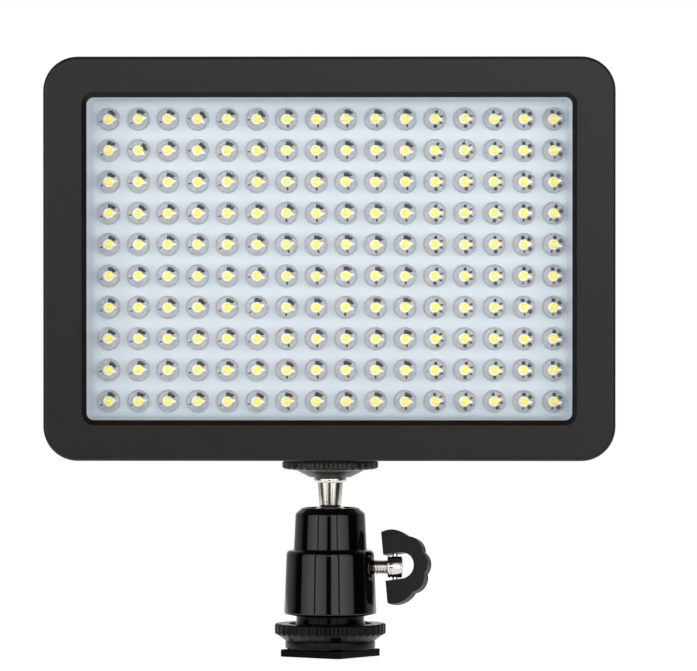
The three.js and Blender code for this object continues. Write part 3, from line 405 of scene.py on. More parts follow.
def copy_of(piece: Piece, name: str, matrix: Matrix) -> Piece:
    """A copy with its own mesh, moved by a matrix.

    Args:
        piece: What is copied.
        name: The copy's name.
        matrix: Where the copy goes.

    Returns:
        The copy.
    """
    twin = piece.copy()
    twin.data = piece.data.copy()
    twin.name = name
    bpy.context.scene.collection.objects.link(twin)
    twin.data.transform(matrix)
    return twin


def knurled(piece: Piece, count: int, depth: float, reach: float, low: float, high: float) -> None:
    """Presses flat-bottomed grooves into a rim that was turned with six sides for each tooth.

    Args:
        piece: The turned piece, still about Z.
        count: How many teeth.
        depth: How deep the grooves are.
        reach: Only points at or beyond this radius move.
        low: Lowest height of the rim.
        high: Highest height of the rim.
    """

    def in_groove(vertex: bmesh.types.BMVert) -> bool:
        """Whether a point lies on the rim, on the bottom of a groove.

        Args:
            vertex: The point.

        Returns:
            True where it is pressed in.
        """
        place = vertex.co
        if place.xy.length < reach or not low - EPS < place.z < high + EPS:
            return False
        share = (math.atan2(place.y, place.x) / (2 * math.pi) * count) % 1
        return GROOVE[0] < share < GROOVE[1]

    with editing(piece):
        pick(piece, "VERT", in_groove)
        ratio = 1 - depth / reach
        bpy.ops.transform.resize(value=(ratio, ratio, 1), center_override=(0, 0, 0))


def cross_screw(name: str, shank: float, length: float, head: float, height: float) -> Piece:
    """Builds a pan-head screw with a cross recess, its seat at the origin and its head up.

    Args:
        name: The piece's name.
        shank: Radius of the shank.
        length: Length of the shank.
        head: Radius of the head.
        height: Height of the head.

    Returns:
        The screw.
    """
    crown = [(head * wide, height * high) for wide, high in ((1, 0.45), (0.92, 0.75), (0.7, 0.94), (0, 1))]
    tip = [(0, -length), (shank * 0.6, -length), (shank, -length + 1), (shank, 0), (head, 0)]
    screw = turned(name, tip + crown, 24)
    arm, half, floor = head * 0.58, head * 0.13, height * 0.4
    for x, y in ((arm, half), (half, arm)):
        slot = block("slot", (-x, -y, floor), (x, y, height + OVERRUN))
        draw_in(slot, 2, floor, (0.45, 0.45, 1), (0, 0, floor))
        carve(screw, slot)
    return screw


# Finishes


class Marks(Enum):
    """What fine texture a surface has."""

    MOULDED = "moulded"
    TURNED_UP = "turned_up"
    TURNED_RIGHT = "turned_right"


class Wiring:
    """Adds and links nodes in one tree."""

    def __init__(self, tree: bpy.types.NodeTree) -> None:
        """Takes the tree to work in."""
        self.tree = tree

    def node(self, kind: str, **settings: object) -> Node:
        """Adds a node and sets its properties.

        Args:
            kind: The node's type, without its common first words.
            settings: Properties of the node.

        Returns:
            The node.
        """
        made = self.tree.nodes.new("ShaderNode" + kind)
        for key, value in settings.items():
            setattr(made, key, value)
        return made

    def feed(self, node: Node, **inputs: object) -> Node:
        """Sets or links a node's inputs.

        Args:
            node: The node.
            inputs: Value or socket by input name, with underscores for spaces.

        Returns:
            The same node.
        """
        for key, value in inputs.items():
            self.put(node.inputs[key.replace("_", " ")], value)
        return node

    def put(self, socket: Socket, value: object) -> None:
        """Links a socket to an input, or sets the input's value.

        Args:
            socket: The input.
            value: What goes in.
        """
        if isinstance(value, Socket):
            self.tree.links.new(value, socket)
        else:
            socket.default_value = value

    def math(self, operation: str, *values: object, clamp: bool = False) -> Socket:
        """Adds a Math node.

        Args:
            operation: The operation.
            values: Its inputs.
            clamp: Whether the result stays between 0 and 1.

        Returns:
            The result's socket.
        """
        made = self.node("Math", operation=operation, use_clamp=clamp)
        for socket, value in zip(made.inputs, values):
            self.put(socket, value)
        return made.outputs[0]

    def scaled(self, vector: Socket, scale: object) -> Socket:
        """Scales a vector.

        Args:
            vector: The vector.
            scale: What it is multiplied by.

        Returns:
            The result's socket.
        """
        made = self.node("VectorMath", operation="SCALE")
        self.put(made.inputs[0], vector)
        return self.feed(made, Scale=scale).outputs[0]

    def noise(self, vector: Socket, scale: float = 1.0, detail: float = 2.0) -> Socket:
        """Adds a noise texture, and returns its factor's socket."""
        return self.feed(self.node("TexNoise"), Vector=vector, Scale=scale, Detail=detail).outputs[0]

    def blend(self, factor: object, first: object, second: object) -> Socket:
        """Adds a colour mix.

        Args:
            factor: Share of the second colour.
            first: First colour.
            second: Second colour.

        Returns:
            The mixed colour's socket.
        """
        made = self.node("Mix", data_type="RGBA")
        for index, value in ((0, factor), (6, first), (7, second)):
            self.put(made.inputs[index], value)
        return made.outputs[2]

    def spread(self, value: object, low: float, high: float, start: float = 0.0, end: float = 1.0) -> Socket:
        """Maps what lies between start and end onto a range from low to high, and returns its socket."""
        ranges = {"From_Min": start, "From_Max": end, "To_Min": low, "To_Max": high}
        return self.feed(self.node("MapRange"), Value=value, **ranges).outputs[0]


def linear(colour: Colour, share: float = 1.0) -> tuple[float, float, float, float]:
    """An 8-bit screen colour as linear light.

    Args:
        colour: Red, green and blue from 0 to 255.
        share: What the light is multiplied by.

    Returns:
        Linear red, green, blue and an alpha of 1.
    """

    def straight(level: float) -> float:
        """One channel, without the screen's curve."""
        value = level / 255
        return value / 12.92 if value <= 0.04045 else ((value + 0.055) / 1.055) ** 2.4

    return (*(min(1.0, straight(level) * share) for level in colour), 1.0)


class Effects:
    """The shader node groups that several finishes share, each built once."""

    @staticmethod
    def start(name: str, inputs: dict[str, float], *outputs: str) -> bpy.types.NodeTree:
        """Starts a group with its sockets.

        Args:
            name: The group's name.
            inputs: Default by input name, besides Coordinates.
            outputs: Names of its values.

        Returns:
            The group, with a node for its inputs and one for its outputs.
        """
        made = bpy.data.node_groups.new(name, "ShaderNodeTree")
        sockets = made.interface
        sockets.new_socket("Coordinates", in_out="INPUT", socket_type="NodeSocketVector")
        for key, value in inputs.items():
            sockets.new_socket(key, in_out="INPUT", socket_type="NodeSocketFloat").default_value = value
        for key in outputs:
            sockets.new_socket(key, in_out="OUTPUT", socket_type="NodeSocketFloat")
        for kind in ("NodeGroupInput", "NodeGroupOutput"):
            made.nodes.new(kind).name = kind
        return made

    @staticmethod
    def surface(wiring: Wiring, given: bpy.types.NodeOutputs) -> dict[str, Socket]:
        """Fine grain, broad mottling and smudges, by the size of each in millimetres.

        Args:
            wiring: The group's wiring.
            given: What the group is given.

        Returns:
            What it gives.
        """
        sizes = [wiring.math("DIVIDE", 1 / MM, given[key]) for key in ("Grain", "Mottle")]
        grain, broad = (wiring.scaled(given["Coordinates"], size) for size in sizes)
        return {
            "Height": wiring.noise(grain, detail=1.0),
            "Mottle": wiring.noise(broad, detail=4.0),
            "Smudge": wiring.noise(broad, 2.7, 5.0),
        }

    @staticmethod
    def lathe_marks(wiring: Wiring, given: bpy.types.NodeOutputs) -> dict[str, Socket]:
        """Marks round the Z axis, by their pitch in millimetres.

        Args:
            wiring: The group's wiring.
            given: What the group is given.

        Returns:
            What it gives.
        """
        split = wiring.feed(wiring.node("SeparateXYZ"), Vector=given["Coordinates"]).outputs
        flat = wiring.feed(wiring.node("CombineXYZ"), X=split[0], Y=split[1])
        radius = wiring.node("VectorMath", operation="LENGTH")
        wiring.put(radius.inputs[0], flat.outputs[0])
        lane = wiring.feed(wiring.node("CombineXYZ"), X=radius.outputs["Value"], Z=split[2])
        scale = wiring.math("DIVIDE", 1 / MM, given["Pitch"])
        return {"Height": wiring.noise(wiring.scaled(lane.outputs[0], scale))}

    @staticmethod
    def edge_wear(wiring: Wiring, given: bpy.types.NodeOutputs) -> dict[str, Socket]:
        """A mask of the edges that hands and bags rub, by the width of the wear in millimetres.

        Args:
            wiring: The group's wiring.
            given: What the group is given.

        Returns:
            What it gives.
        """
        radius = wiring.math("MULTIPLY", given["Width"], MM)
        soft = wiring.feed(wiring.node("Bevel", samples=4), Radius=radius)
        along = wiring.node("VectorMath", operation="DOT_PRODUCT")
        wiring.put(along.inputs[0], soft.outputs[0])
        wiring.put(along.inputs[1], wiring.node("NewGeometry").outputs["Normal"])
        fall = wiring.math("SUBTRACT", 1.0, along.outputs["Value"])
        edge = wiring.math("MULTIPLY", fall, 6.0, clamp=True)
        patchy = wiring.noise(wiring.scaled(given["Coordinates"], 0.35 / MM), detail=4.0)
        return {"Mask": wiring.math("MULTIPLY", edge, wiring.spread(patchy, -0.2, 1.3), clamp=True)}

    @classmethod
    def use(cls, wiring: Wiring, name: str, **inputs: object) -> Node:
        """Places an effect in a material, and builds its group the first time.

        Args:
            wiring: The material's wiring.
            name: The effect: surface, lathe_marks or edge_wear.
            inputs: The group's inputs.

        Returns:
            The group's node.
        """
        group = bpy.data.node_groups.get(name)
        if not group:
            build, defaults, outputs = {
                "surface": (cls.surface, {"Grain": 0.3, "Mottle": 12.0}, ("Height", "Mottle", "Smudge")),
                "lathe_marks": (cls.lathe_marks, {"Pitch": 0.15}, ("Height",)),
                "edge_wear": (cls.edge_wear, {"Width": 0.3}, ("Mask",)),
            }[name]
            group = cls.start(name, defaults, *outputs)
            inside = Wiring(group)
            results = build(inside, group.nodes["NodeGroupInput"].outputs)
            inside.feed(group.nodes["NodeGroupOutput"], **results)
        return wiring.feed(wiring.node("Group", node_tree=group), **inputs)


@dataclass(frozen=True)
class Finish:
    """A surface finish. Its colour and roughness vary a little over the surface, with grain and edge wear.

    Sizes are millimetres, and shares run from 0 to 1.
    """

    name: str
    colour: Colour
    roughness: float
    metallic: float = 0.0
    specular: float = 0.5
    coat: float = 0.0
    grain: float = 0.3
    depth: float = 0.004
    mottle_size: float = 12.0
    mottle: float = 0.06
    smudge: float = 0.05
    wear: float = 0.0
    wear_width: float = 0.3
    wear_colour: Colour = (120, 117, 112)
    marks: Marks = Marks.MOULDED

    def material(self) -> bpy.types.Material:
        """Finds the finish's material or builds it.

        Returns:
            The material.
        """
        name = f"finish_{self.name}"
        if found := bpy.data.materials.get(name):
            return found
        made = bpy.data.materials.new(name)
        made.use_nodes = True
        wiring = Wiring(made.node_tree)
        shader = made.node_tree.nodes["Principled BSDF"]
        place = wiring.node("TexCoord").outputs["Object"]
        wiring.feed(shader, Metallic=self.metallic, Specular_IOR_Level=self.specular, Coat_Weight=self.coat)
        self.paint(wiring, shader, place)
        return made

    def paint(self, wiring: Wiring, shader: Node, place: Socket) -> None:
        """Wires colour, roughness and grain to the shader.

        Args:
            wiring: The material's wiring.
            shader: Its shader.
            place: Object coordinates.
        """
        surface = Effects.use(
            wiring, "surface", Coordinates=place, Grain=self.grain, Mottle=self.mottle_size
        ).outputs
        smooth, rough = max(0.02, self.roughness - self.smudge), self.roughness + self.smudge
        wiring.feed(
            shader,
            Base_Color=self.tint(wiring, place, surface["Mottle"]),
            Roughness=wiring.spread(surface["Smudge"], smooth, rough),
            Normal=self.bump(wiring, self.height(wiring, place, surface["Height"])),
        )

    def tint(self, wiring: Wiring, place: Socket, mottle: Socket) -> Socket:
        """The surface's colour: the base, mottled, and lighter where edges are worn.

        Args:
            wiring: The material's wiring.
            place: Object coordinates.
            mottle: The mottling.

        Returns:
            The colour's socket.
        """
        dark, light = linear(self.colour, 1 - self.mottle), linear(self.colour, 1 + self.mottle)
        colour = wiring.blend(mottle, dark, light)
        if self.wear:
            worn = Effects.use(wiring, "edge_wear", Coordinates=place, Width=self.wear_width)
            share = wiring.math("MULTIPLY", worn.outputs["Mask"], self.wear)
            colour = wiring.blend(share, colour, linear(self.wear_colour))
        return colour

    def height(self, wiring: Wiring, place: Socket, grain: Socket) -> Socket:
        """The relief: moulded grain, or the marks that a lathe leaves.

        Args:
            wiring: The material's wiring.
            place: Object coordinates.
            grain: The grain.

        Returns:
            The relief's socket.
        """
        if self.marks is Marks.MOULDED:
            return grain
        if self.marks is Marks.TURNED_RIGHT:
            upright = {"Rotation": (0, math.radians(-90), 0), "Location": (LOCK_HEIGHT * MM, 0, 0)}
            place = wiring.feed(wiring.node("Mapping"), Vector=place, **upright).outputs[0]
        return Effects.use(wiring, "lathe_marks", Coordinates=place, Pitch=self.grain).outputs["Height"]

    def bump(self, wiring: Wiring, height: Socket) -> Socket:
        """Turns relief into a normal, and returns its socket."""
        return wiring.feed(wiring.node("Bump"), Height=height, Distance=self.depth * MM).outputs[0]


@dataclass(frozen=True)
class Epoxy(Finish):
    """Clear cast epoxy, as in an LED's lens."""

    ior: float = 1.5

    def paint(self, wiring: Wiring, shader: Node, place: Socket) -> None:
        """Makes the shader clear, with a faint waviness.

        Args:
            wiring: The material's wiring.
            shader: Its shader.
            place: Object coordinates.
        """
        waves = wiring.noise(wiring.scaled(place, 1 / (self.grain * MM)))
        wiring.feed(
            shader,
            Base_Color=linear(self.colour),
            Roughness=self.roughness,
            IOR=self.ior,
            Transmission_Weight=1.0,
            Normal=self.bump(wiring, waves),
        )


@dataclass(frozen=True)
class Phosphor(Finish):
    """The cast phosphor over an LED's chip: yellow, paler in patches."""

    pale_colour: Colour = (250, 246, 190)

    def tint(self, wiring: Wiring, place: Socket, mottle: Socket) -> Socket:
        """Blends the pale colour in, in patches, and returns the colour's socket."""
        share = wiring.math("MULTIPLY", wiring.spread(mottle, -0.6, 1.2), self.mottle, clamp=True)
        return wiring.blend(share, linear(self.colour), linear(self.pale_colour))


@dataclass(frozen=True)
class CircuitBoard(Finish):
    """Solder mask with tracks that show as slightly lighter lines."""

    track_colour: Colour = (52, 122, 74)
    track_pitch: float = 2.5

    def tint(self, wiring: Wiring, place: Socket, mottle: Socket) -> Socket:
        """Lays tracks over the mask.

        Args:
            wiring: The material's wiring.
            place: Object coordinates.
            mottle: The mottling.

        Returns:
            The colour's socket.
        """
        level = wiring.feed(wiring.node("Mapping"), Vector=place, Rotation=(math.radians(90), 0, 0))
        lanes = wiring.scaled(level.outputs[0], 1 / (self.track_pitch * MM))
        tracks = {"Scale": 1.0, "Mortar_Size": 0.06, "Brick_Width": 3.0, "Row_Height": 0.5}
        cells = wiring.feed(wiring.node("TexBrick", offset=0.5), Vector=lanes, **tracks)
        base = wiring.blend(mottle, linear(self.colour, 1 - self.mottle), linear(self.colour))
        return wiring.blend(cells.outputs["Fac"], base, linear(self.track_colour))


LOCK_HEIGHT = 22.5

BEZEL = Finish(
    "bezel_plastic", (32, 31, 29), 0.32, specular=0.26, grain=0.16, depth=0.006, mottle=0.05,
    wear=0.35, wear_width=0.22, wear_colour=(92, 88, 82),
)
# The bezel's own plastic, painted darker for the window's bevel: painted shade for the recess round the
# window.
LIP_SHADE = Finish("lip_painted_shade", (13, 13, 14), 0.42, specular=0.25, grain=0.2, depth=0.003, mottle=0.08)
HOUSING = Finish(
    "housing_plastic", (36, 35, 33), 0.4, grain=0.16, depth=0.007,
    wear=0.3, wear_width=0.25, wear_colour=(88, 85, 80),
)
CONTROL = Finish(
    "control_plastic", (34, 34, 34), 0.5, grain=0.2, depth=0.006,
    wear=0.4, wear_width=0.2, wear_colour=(86, 84, 82),
)
PLATE = Finish(
    "plate_plastic", (30, 30, 30), 0.42, grain=0.22, depth=0.005, mottle=0.08, smudge=0.08,
    wear=0.45, wear_width=0.25, wear_colour=(82, 82, 82),
)
WHITE = Finish("white_plastic", (222, 233, 242), 0.34, grain=0.4, depth=0.002, mottle=0.02, mottle_size=20)
BOARD_WHITE = Finish(
    "board_white", (224, 235, 244), 0.38, grain=0.25, depth=0.002, mottle=0.025, mottle_size=8
)
CLEAR = Epoxy("clear_epoxy", (246, 248, 250), 0.02, grain=1.6, depth=0.01)
YELLOW = Phosphor("phosphor", (255, 240, 92), 0.55, grain=0.1, depth=0.006, mottle=0.5, mottle_size=0.8)
CUP_RIM = Finish("cup_pale", (255, 252, 226), 0.45, grain=0.2, depth=0.002, mottle=0.04, mottle_size=1)
CUP = Finish("cup_silver", (255, 255, 252), 0.35, grain=0.2, depth=0.002, mottle=0.03, mottle_size=1)
SEAT = Finish("led_base", (250, 248, 250), 0.5, grain=0.2, depth=0.003, mottle=0.08, mottle_size=1.5)
# Dark blocks in the gaps between an LED's leads: painted shade.
GAP_SHADE = Finish("lead_gap_painted_shade", (66, 64, 68), 0.5, grain=0.2, depth=0.003, mottle=0.2, mottle_size=1)
# Grey on the clear lens's flange rim: painted shade for the outline that refraction gives the lens.
LENS_RIM_SHADE = Finish("lens_rim_painted_shade", (190, 192, 197), 0.3, grain=0.2, depth=0.002, mottle=0.2, mottle_size=2)
GREEN = CircuitBoard("circuit_board", (24, 78, 46), 0.38, depth=0.002, mottle=0.15)
BLACK_PART = Finish("part_black", (26, 26, 27), 0.5, grain=0.15, wear=0.2)
ZINC = Finish(
    "zinc", (168, 168, 166), 0.3, metallic=1.0, grain=0.12, depth=0.002, mottle=0.08, smudge=0.1,
    wear=0.3, wear_colour=(206, 206, 204),
)
BRASS = Finish("brass", (190, 156, 82), 0.28, metallic=1.0, grain=0.1, depth=0.002, marks=Marks.TURNED_UP)
CHROME = Finish(
    "chrome", (222, 219, 214), 0.09, metallic=1.0, grain=0.18, depth=0.0012, mottle=0.02, smudge=0.03,
    marks=Marks.TURNED_UP,
)
CHROME_SIDE = Finish(
    "chrome_screw", (214, 211, 206), 0.12, metallic=1.0, grain=0.18, depth=0.0015, mottle=0.03, smudge=0.04,
    marks=Marks.TURNED_RIGHT,
)
GLOSS = Finish(
    "gloss_black", (2, 2, 2), 0.08, specular=0.42, grain=0.5, depth=0.0008, mottle=0.1, smudge=0.03,
    wear=0.12, wear_width=0.15, wear_colour=(90, 88, 84), marks=Marks.TURNED_UP,
)
# The gloss black with its reflection turned down and roughened: painted shade for the recessed neck under
# the housing.
NECK_SHADE_BLACK = Finish(
    "neck_black_painted_shade", (2, 2, 2), 0.14, specular=0.09, grain=0.5, depth=0.0008, mottle=0.1, marks=Marks.TURNED_UP
)
DISC_BLACK = Finish(
    "disc_black", (24, 24, 22), 0.34, specular=0.42, grain=0.1, depth=0.003, mottle=0.12, smudge=0.07,
    wear=0.35, wear_width=0.14, wear_colour=(104, 102, 98),
)
SATIN = Finish(
    "satin_black_metal", (4, 4, 4), 0.28, specular=0.14, grain=0.1, depth=0.003, mottle=0.12, smudge=0.07,
    wear=0.35, wear_width=0.14, wear_colour=(104, 102, 98),
)
WING_BLACK = Finish(
    "wing_black", (11, 11, 10), 0.4, specular=0.22, grain=0.22, depth=0.008, mottle=0.12,
    wear=0.3, wear_width=0.2, wear_colour=(104, 101, 97),
)
FOOT_BLACK = Finish(
    "foot_black", (3, 3, 3), 0.42, specular=0.06, grain=0.12, depth=0.003, mottle=0.15,
    wear=0.3, wear_width=0.14, wear_colour=(96, 94, 90),
)
RUBBER = Finish("rubber", (20, 20, 20), 0.85, grain=0.25, depth=0.01, mottle=0.1)
ACETAL = Finish("acetal", (226, 223, 214), 0.45, grain=0.4, depth=0.003)
COPPER = Finish("copper_winding", (176, 98, 52), 0.35, metallic=1.0, grain=0.5, depth=0.05)
GOLD = Finish("gold", (214, 176, 92), 0.25, metallic=1.0, grain=0.2, depth=0.002, smudge=0.08)
PIPE = Finish("light_pipe", (92, 18, 16), 0.15, coat=0.6, grain=0.4, depth=0.002)
MARK = Finish("mark_white", (224, 224, 220), 0.5, grain=0.2, depth=0.003)


# Sub-assemblies

TOWER_X, TOWER_Z = 63.8, 42.8
TOWERS = ((-TOWER_X, -TOWER_Z), (-TOWER_X, TOWER_Z), (TOWER_X, -TOWER_Z), (TOWER_X, TOWER_Z))
RELEASE_WINDOW = (36.4, 45.0)


def box(node: str) -> tuple[Vector, Vector]:
    """A node's lowest and highest corners, in millimetres."""
    low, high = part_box(node)
    return low / MM, high / MM


def centre_of(node: str) -> Matrix:
    """The shift to a node's centre, seen from the front."""
    low, high = box(node)
    return at((low.x + high.x) / 2, 0, (low.z + high.z) / 2)


def two_tone(piece: Piece, first: Finish, second: Finish, test: Callable[..., bool]) -> None:
    """Gives a piece two finishes.

    Args:
        piece: The piece.
        first: The finish of most faces.
        second: The finish of the faces that pass the test.
        test: Says whether a face takes the second finish.
    """
    for finish in (first, second):
        piece.data.materials.append(finish.material())
    with editing(piece):
        pick(piece, "FACE", test)
        piece.active_material_index = 1
        bpy.ops.object.material_slot_assign()


@dataclass
class SubAssembly:
    """What each sub-assembly shares: the frame that it is built round."""

    frame: dict
    body: str = "light"
    corner_steps: int = 12

    @property
    def middle(self) -> float:
        """Height of the panel's centre."""
        low, high = box("front_bezel")
        return (low.z + high.z) / 2

    def keep(self, finish: Finish, *nodes: str) -> None:
        """Gives nodes of the frame a finish, and leaves their shapes.

        Args:
            finish: The finish.
            nodes: Names of the nodes.
        """
        for name in nodes:
            node = self.frame["nodes"][name]
            if not node.material_slots:
                node.data.materials.append(None)
            for slot in node.material_slots:
                slot.material = finish.material()
            log.info("%s: kept, in %s", name, finish.name)

    def add(
        self,
        piece: Piece,
        finish: Finish | None,
        slot: str,
        *replaced: str,
        smooth: float = 35,
        weighted: bool = True,
        body: str = "",
    ) -> None:
        """Settles a finished piece in the frame.

        Args:
            piece: The piece, in millimetres.
            finish: Its finish, or none where it has its own.
            slot: The record's slot; it is not used.
            replaced: Nodes that it stands for.
            smooth: Edges below this angle are shaded smooth.
            weighted: Whether flat faces stay flat beside small fillets.
            body: The body that it rides on, or the sub-assembly's own.
        """
        piece.scale = (MM, MM, MM)
        apply_place(piece)
        bpy.ops.object.shade_smooth_by_angle(angle=math.radians(smooth))
        if finish:
            piece.data.materials.clear()
            piece.data.materials.append(finish.material())
        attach(piece, body or self.body)
        if replaced:
            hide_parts(*replaced)
        if weighted:
            modify(piece, "WEIGHTED_NORMAL", keep_sharp=True)
        log.info("%s: %d faces", piece.name, len(piece.data.polygons))

    def add_copies(
        self,
        pattern: Piece,
        finish: Finish,
        slot: str,
        node: str,
        places: Sequence[Matrix],
        smooth: float = 35,
    ) -> None:
        """Settles a numbered copy of a pattern for each of several like nodes, and scraps the pattern.

        Args:
            pattern: What is copied. Its name is the copies', without their numbers.
            finish: Their finish.
            slot: The record's slot, handed on to the settling of each copy.
            node: The nodes' name, without its number.
            places: Where they go.
            smooth: Edges below this angle are shaded smooth.
        """
        for number, place in enumerate(places, 1):
            twin = copy_of(pattern, f"{pattern.name}_{number}", place)
            self.add(twin, finish, slot, f"{node}_{number}", smooth=smooth, weighted=False)
        scrap(pattern)


@dataclass
class FrontBezel(SubAssembly):
    """The dark frame round the window."""

    corner: float = 8.6
    edge: float = 1.0
    wall: float = 2.2
    face_wall: float = 2.4
    side: float = 10.8
    end: float = 10.2
    window_corner: float = 1.8
    window_bevel: float = 1.2
    edge_break: float = 0.12
    lip_margin: float = 0.05

    def build(self) -> None:
        """Builds the bezel: a rounded cover, hollow from behind, with a bevelled window."""
        low, high = box("front_bezel")
        cover = block("bezel", low, high, self.corner, steps=self.corner_steps)
        round_end(cover, low.y, self.edge, steps=5)
        hollow = block(
            "hollow",
            (low.x + self.wall, low.y + self.face_wall, low.z + self.wall),
            (high.x - self.wall, high.y + OVERRUN, high.z - self.wall),
            self.corner - self.wall,
        )
        window = block(
            "window",
            (low.x + self.side, low.y - OVERRUN, low.z + self.end),
            (high.x - self.side, high.y, high.z - self.end),
            self.window_corner,
        )
        carve(cover, hollow, window)
        reach = high.x - self.side + EPS
        round_end(cover, low.y, self.window_bevel, steps=1, reach=reach)
        fillet(cover, self.edge_break)
        rise, middle = (high.z - low.z) / 2 - self.end, self.middle
        margin = self.window_bevel + self.lip_margin
        back = low.y + self.face_wall - self.lip_margin

        def on_lip(part: bmesh.types.BMFace) -> bool:
            """Whether a face lies on the bevel or on the window's inner edge.

            Args:
                part: The face.

            Returns:
                True where it takes the lip's darker finish, the painted shade of the window's bevel.
            """
            place = part.calc_center_median()
            inside = abs(place.x) < reach + margin and abs(place.z - middle) < rise + margin
            return inside and place.y < back and abs(part.normal.y) < 0.95

        # The bevel round the window takes the darker finish: painted shade.
        two_tone(cover, BEZEL, LIP_SHADE, on_lip)
        self.add(cover, None, "bezel_plastic", "front_bezel")


@dataclass
class LightWell(SubAssembly):
    """The white well behind the window: the reflector frame, the LED board and its LEDs.

    The parts of an LED are given by radius, low and high, and the dark blocks that paint the shade in the
    gaps between its leads by the first column that has them and by their low and high corners.
    """

    wall: float = 1.2
    draft: Pair = (1.3, 0.8)
    window: Pair = (121.6, 80.8)
    window_corner: float = 1.8
    cove: float = 1.4
    floor: float = -5.0
    notch_radius: float = 4.8
    notch_reach: float = 4.0
    columns: int = 16
    rows: int = 10
    grid: Pair = (111.9, 71.0)
    grid_shift: Pair = (0.28, -0.35)
    lens: Profile = ((0, 0.02), (2.95, 0.02), (2.84, 0.66), (2.52, 0.8), (2.48, 3.1), (1.9, 4.35), (0, 5.0))
    lens_sides: int = 12
    part_sides: int = 10
    flange: float = 2.7
    flat: float = 2.82
    cup: Triple = (0.85, 0.5, 2.05)
    seat: Triple = (1.9, 0.25, 0.45)
    seat_shift: float = 0.3
    chip: Triple = (0.61, 2.07, 2.2)
    post: tuple[Triple, Triple] = ((0.76, -0.32, 1.7), (1.34, 0.32, 2.1))
    gap_heights: Pair = (1.5, 2.05)
    gap_sets: tuple = (
        (0, (((-0.05, 0.78), (0.55, 1.14)), ((0.48, 0.6), (1.0, 0.96)), ((-1.1, -0.5), (-0.95, -0.34)))),
        (6, (((-0.1, 0.79), (0.6, 1.18)), ((0.5, 0.68), (1.0, 0.98)), ((0.06, -1.1), (0.32, -0.84)))),
        (11, (((-0.05, 0.84), (0.35, 1.1)), ((-0.05, -1.14), (0.42, -0.84)),
              ((0.82, 0.4), (1.08, 0.58)), ((0.82, -0.58), (1.08, -0.4)))),
        (14, (((-0.3, 0.82), (0.18, 1.14)), ((0.62, 0.5), (1.06, 0.92)),
              ((0.62, -0.92), (1.06, -0.5)), ((-0.14, -1.1), (0.1, -0.86)))),
    )
    tilt: float = 1.6
    spin: float = 6.0
    odd_spin: float = 35.0
    even_share: float = 0.92
    seed: int = 7

    def build(self) -> None:
        """Builds the well and fills it with LEDs."""
        self.build_tray()
        self.build_board()
        self.build_leds()

    def build_tray(self) -> None:
        """Builds the reflector frame, whose walls draw in towards the board."""
        low, middle = box("reflector_frame")[0], self.middle
        x, z = (size / 2 for size in self.window)
        wide, tall = x + self.wall, z + self.wall
        base = self.floor + EPS
        tray = block(
            "reflector_tray", (-wide, low.y, middle - tall), (wide, self.floor, middle + tall),
            self.window_corner + self.wall,
        )
        well = block("well", (-x, low.y - EPS, middle - z), (x, base, middle + z), self.window_corner)
        scale = (1 - self.draft[0] / x, 1, 1 - self.draft[1] / z)
        for part, depth in ((tray, self.floor), (well, base)):
            draw_in(part, 1, depth, scale, (0, depth, middle))
        round_end(well, base, self.cove, steps=4)
        self.add(carve(tray, well), WHITE, "white_plastic", "reflector_frame", smooth=50)

    def build_board(self) -> None:
        """Builds the board, notched at its corners for the screw towers."""
        low, high = box("led_board")
        board = block("led_board_white", (low.x, self.floor, low.z), high)
        notches = []
        for x, z in TOWERS:
            notch = rod("notch", self.notch_radius, -self.notch_reach, self.notch_reach, 24, Facing.BACK)
            notches.append(moved(notch, at(x, self.floor, self.middle + z)))
        self.add(carve(board, joined(notches)), BOARD_WHITE, "led_board", "led_board", weighted=False)

    def led(self, gaps: tuple) -> Piece:
        """Builds one straw-hat LED that points up from the board.

        Args:
            gaps: Low and high corners of the dark blocks that paint the shade in the gaps between its leads.

        Returns:
            The LED, with its clear lens, its leads and its chip as one piece.
        """

        def on_flange(face: bmesh.types.BMFace) -> bool:
            """Whether a face lies on the flange's rim."""
            return face.calc_center_median().xy.length > self.flange and face.normal.z > -0.5

        lens = turned("lens", self.lens, self.lens_sides)
        # The flange rim takes a grey finish: painted shade for the lens's outline.
        two_tone(lens, CLEAR, LENS_RIM_SHADE, on_flange)
        with editing(lens):
            bpy.ops.mesh.select_all(action="SELECT")
            cut = {"plane_co": (self.flat, 0, 0), "plane_no": (1, 0, 0)}
            bpy.ops.mesh.bisect(**cut, clear_outer=True, use_fill=True)
        cup = rod("cup", *self.cup, self.part_sides)
        two_tone(cup, SEAT, CUP_RIM, lambda face: face.normal.z > 0.9)
        post = block("post", *self.post)
        tip, top = self.post[1][0], self.post[1][2]
        draw_in(post, 0, tip, (1, 0.35, 1), (tip, 0, top))
        seat = moved(rod("seat", *self.seat, self.part_sides), at(self.seat_shift, 0, 0))
        parts = [(seat, SEAT), (rod("chip", *self.chip, self.part_sides), YELLOW), (post, CUP)]
        floor, roof = self.gap_heights
        # Dark blocks in the gaps between the leads: painted shade.
        parts += [(block("gap", (*low, floor), (*high, roof)), GAP_SHADE) for low, high in gaps]
        for part, finish in parts:
            part.data.materials.append(finish.material())
        whole = joined([lens, cup, *(part for part, finish in parts)], "led")
        merge_flats(whole)
        return whole

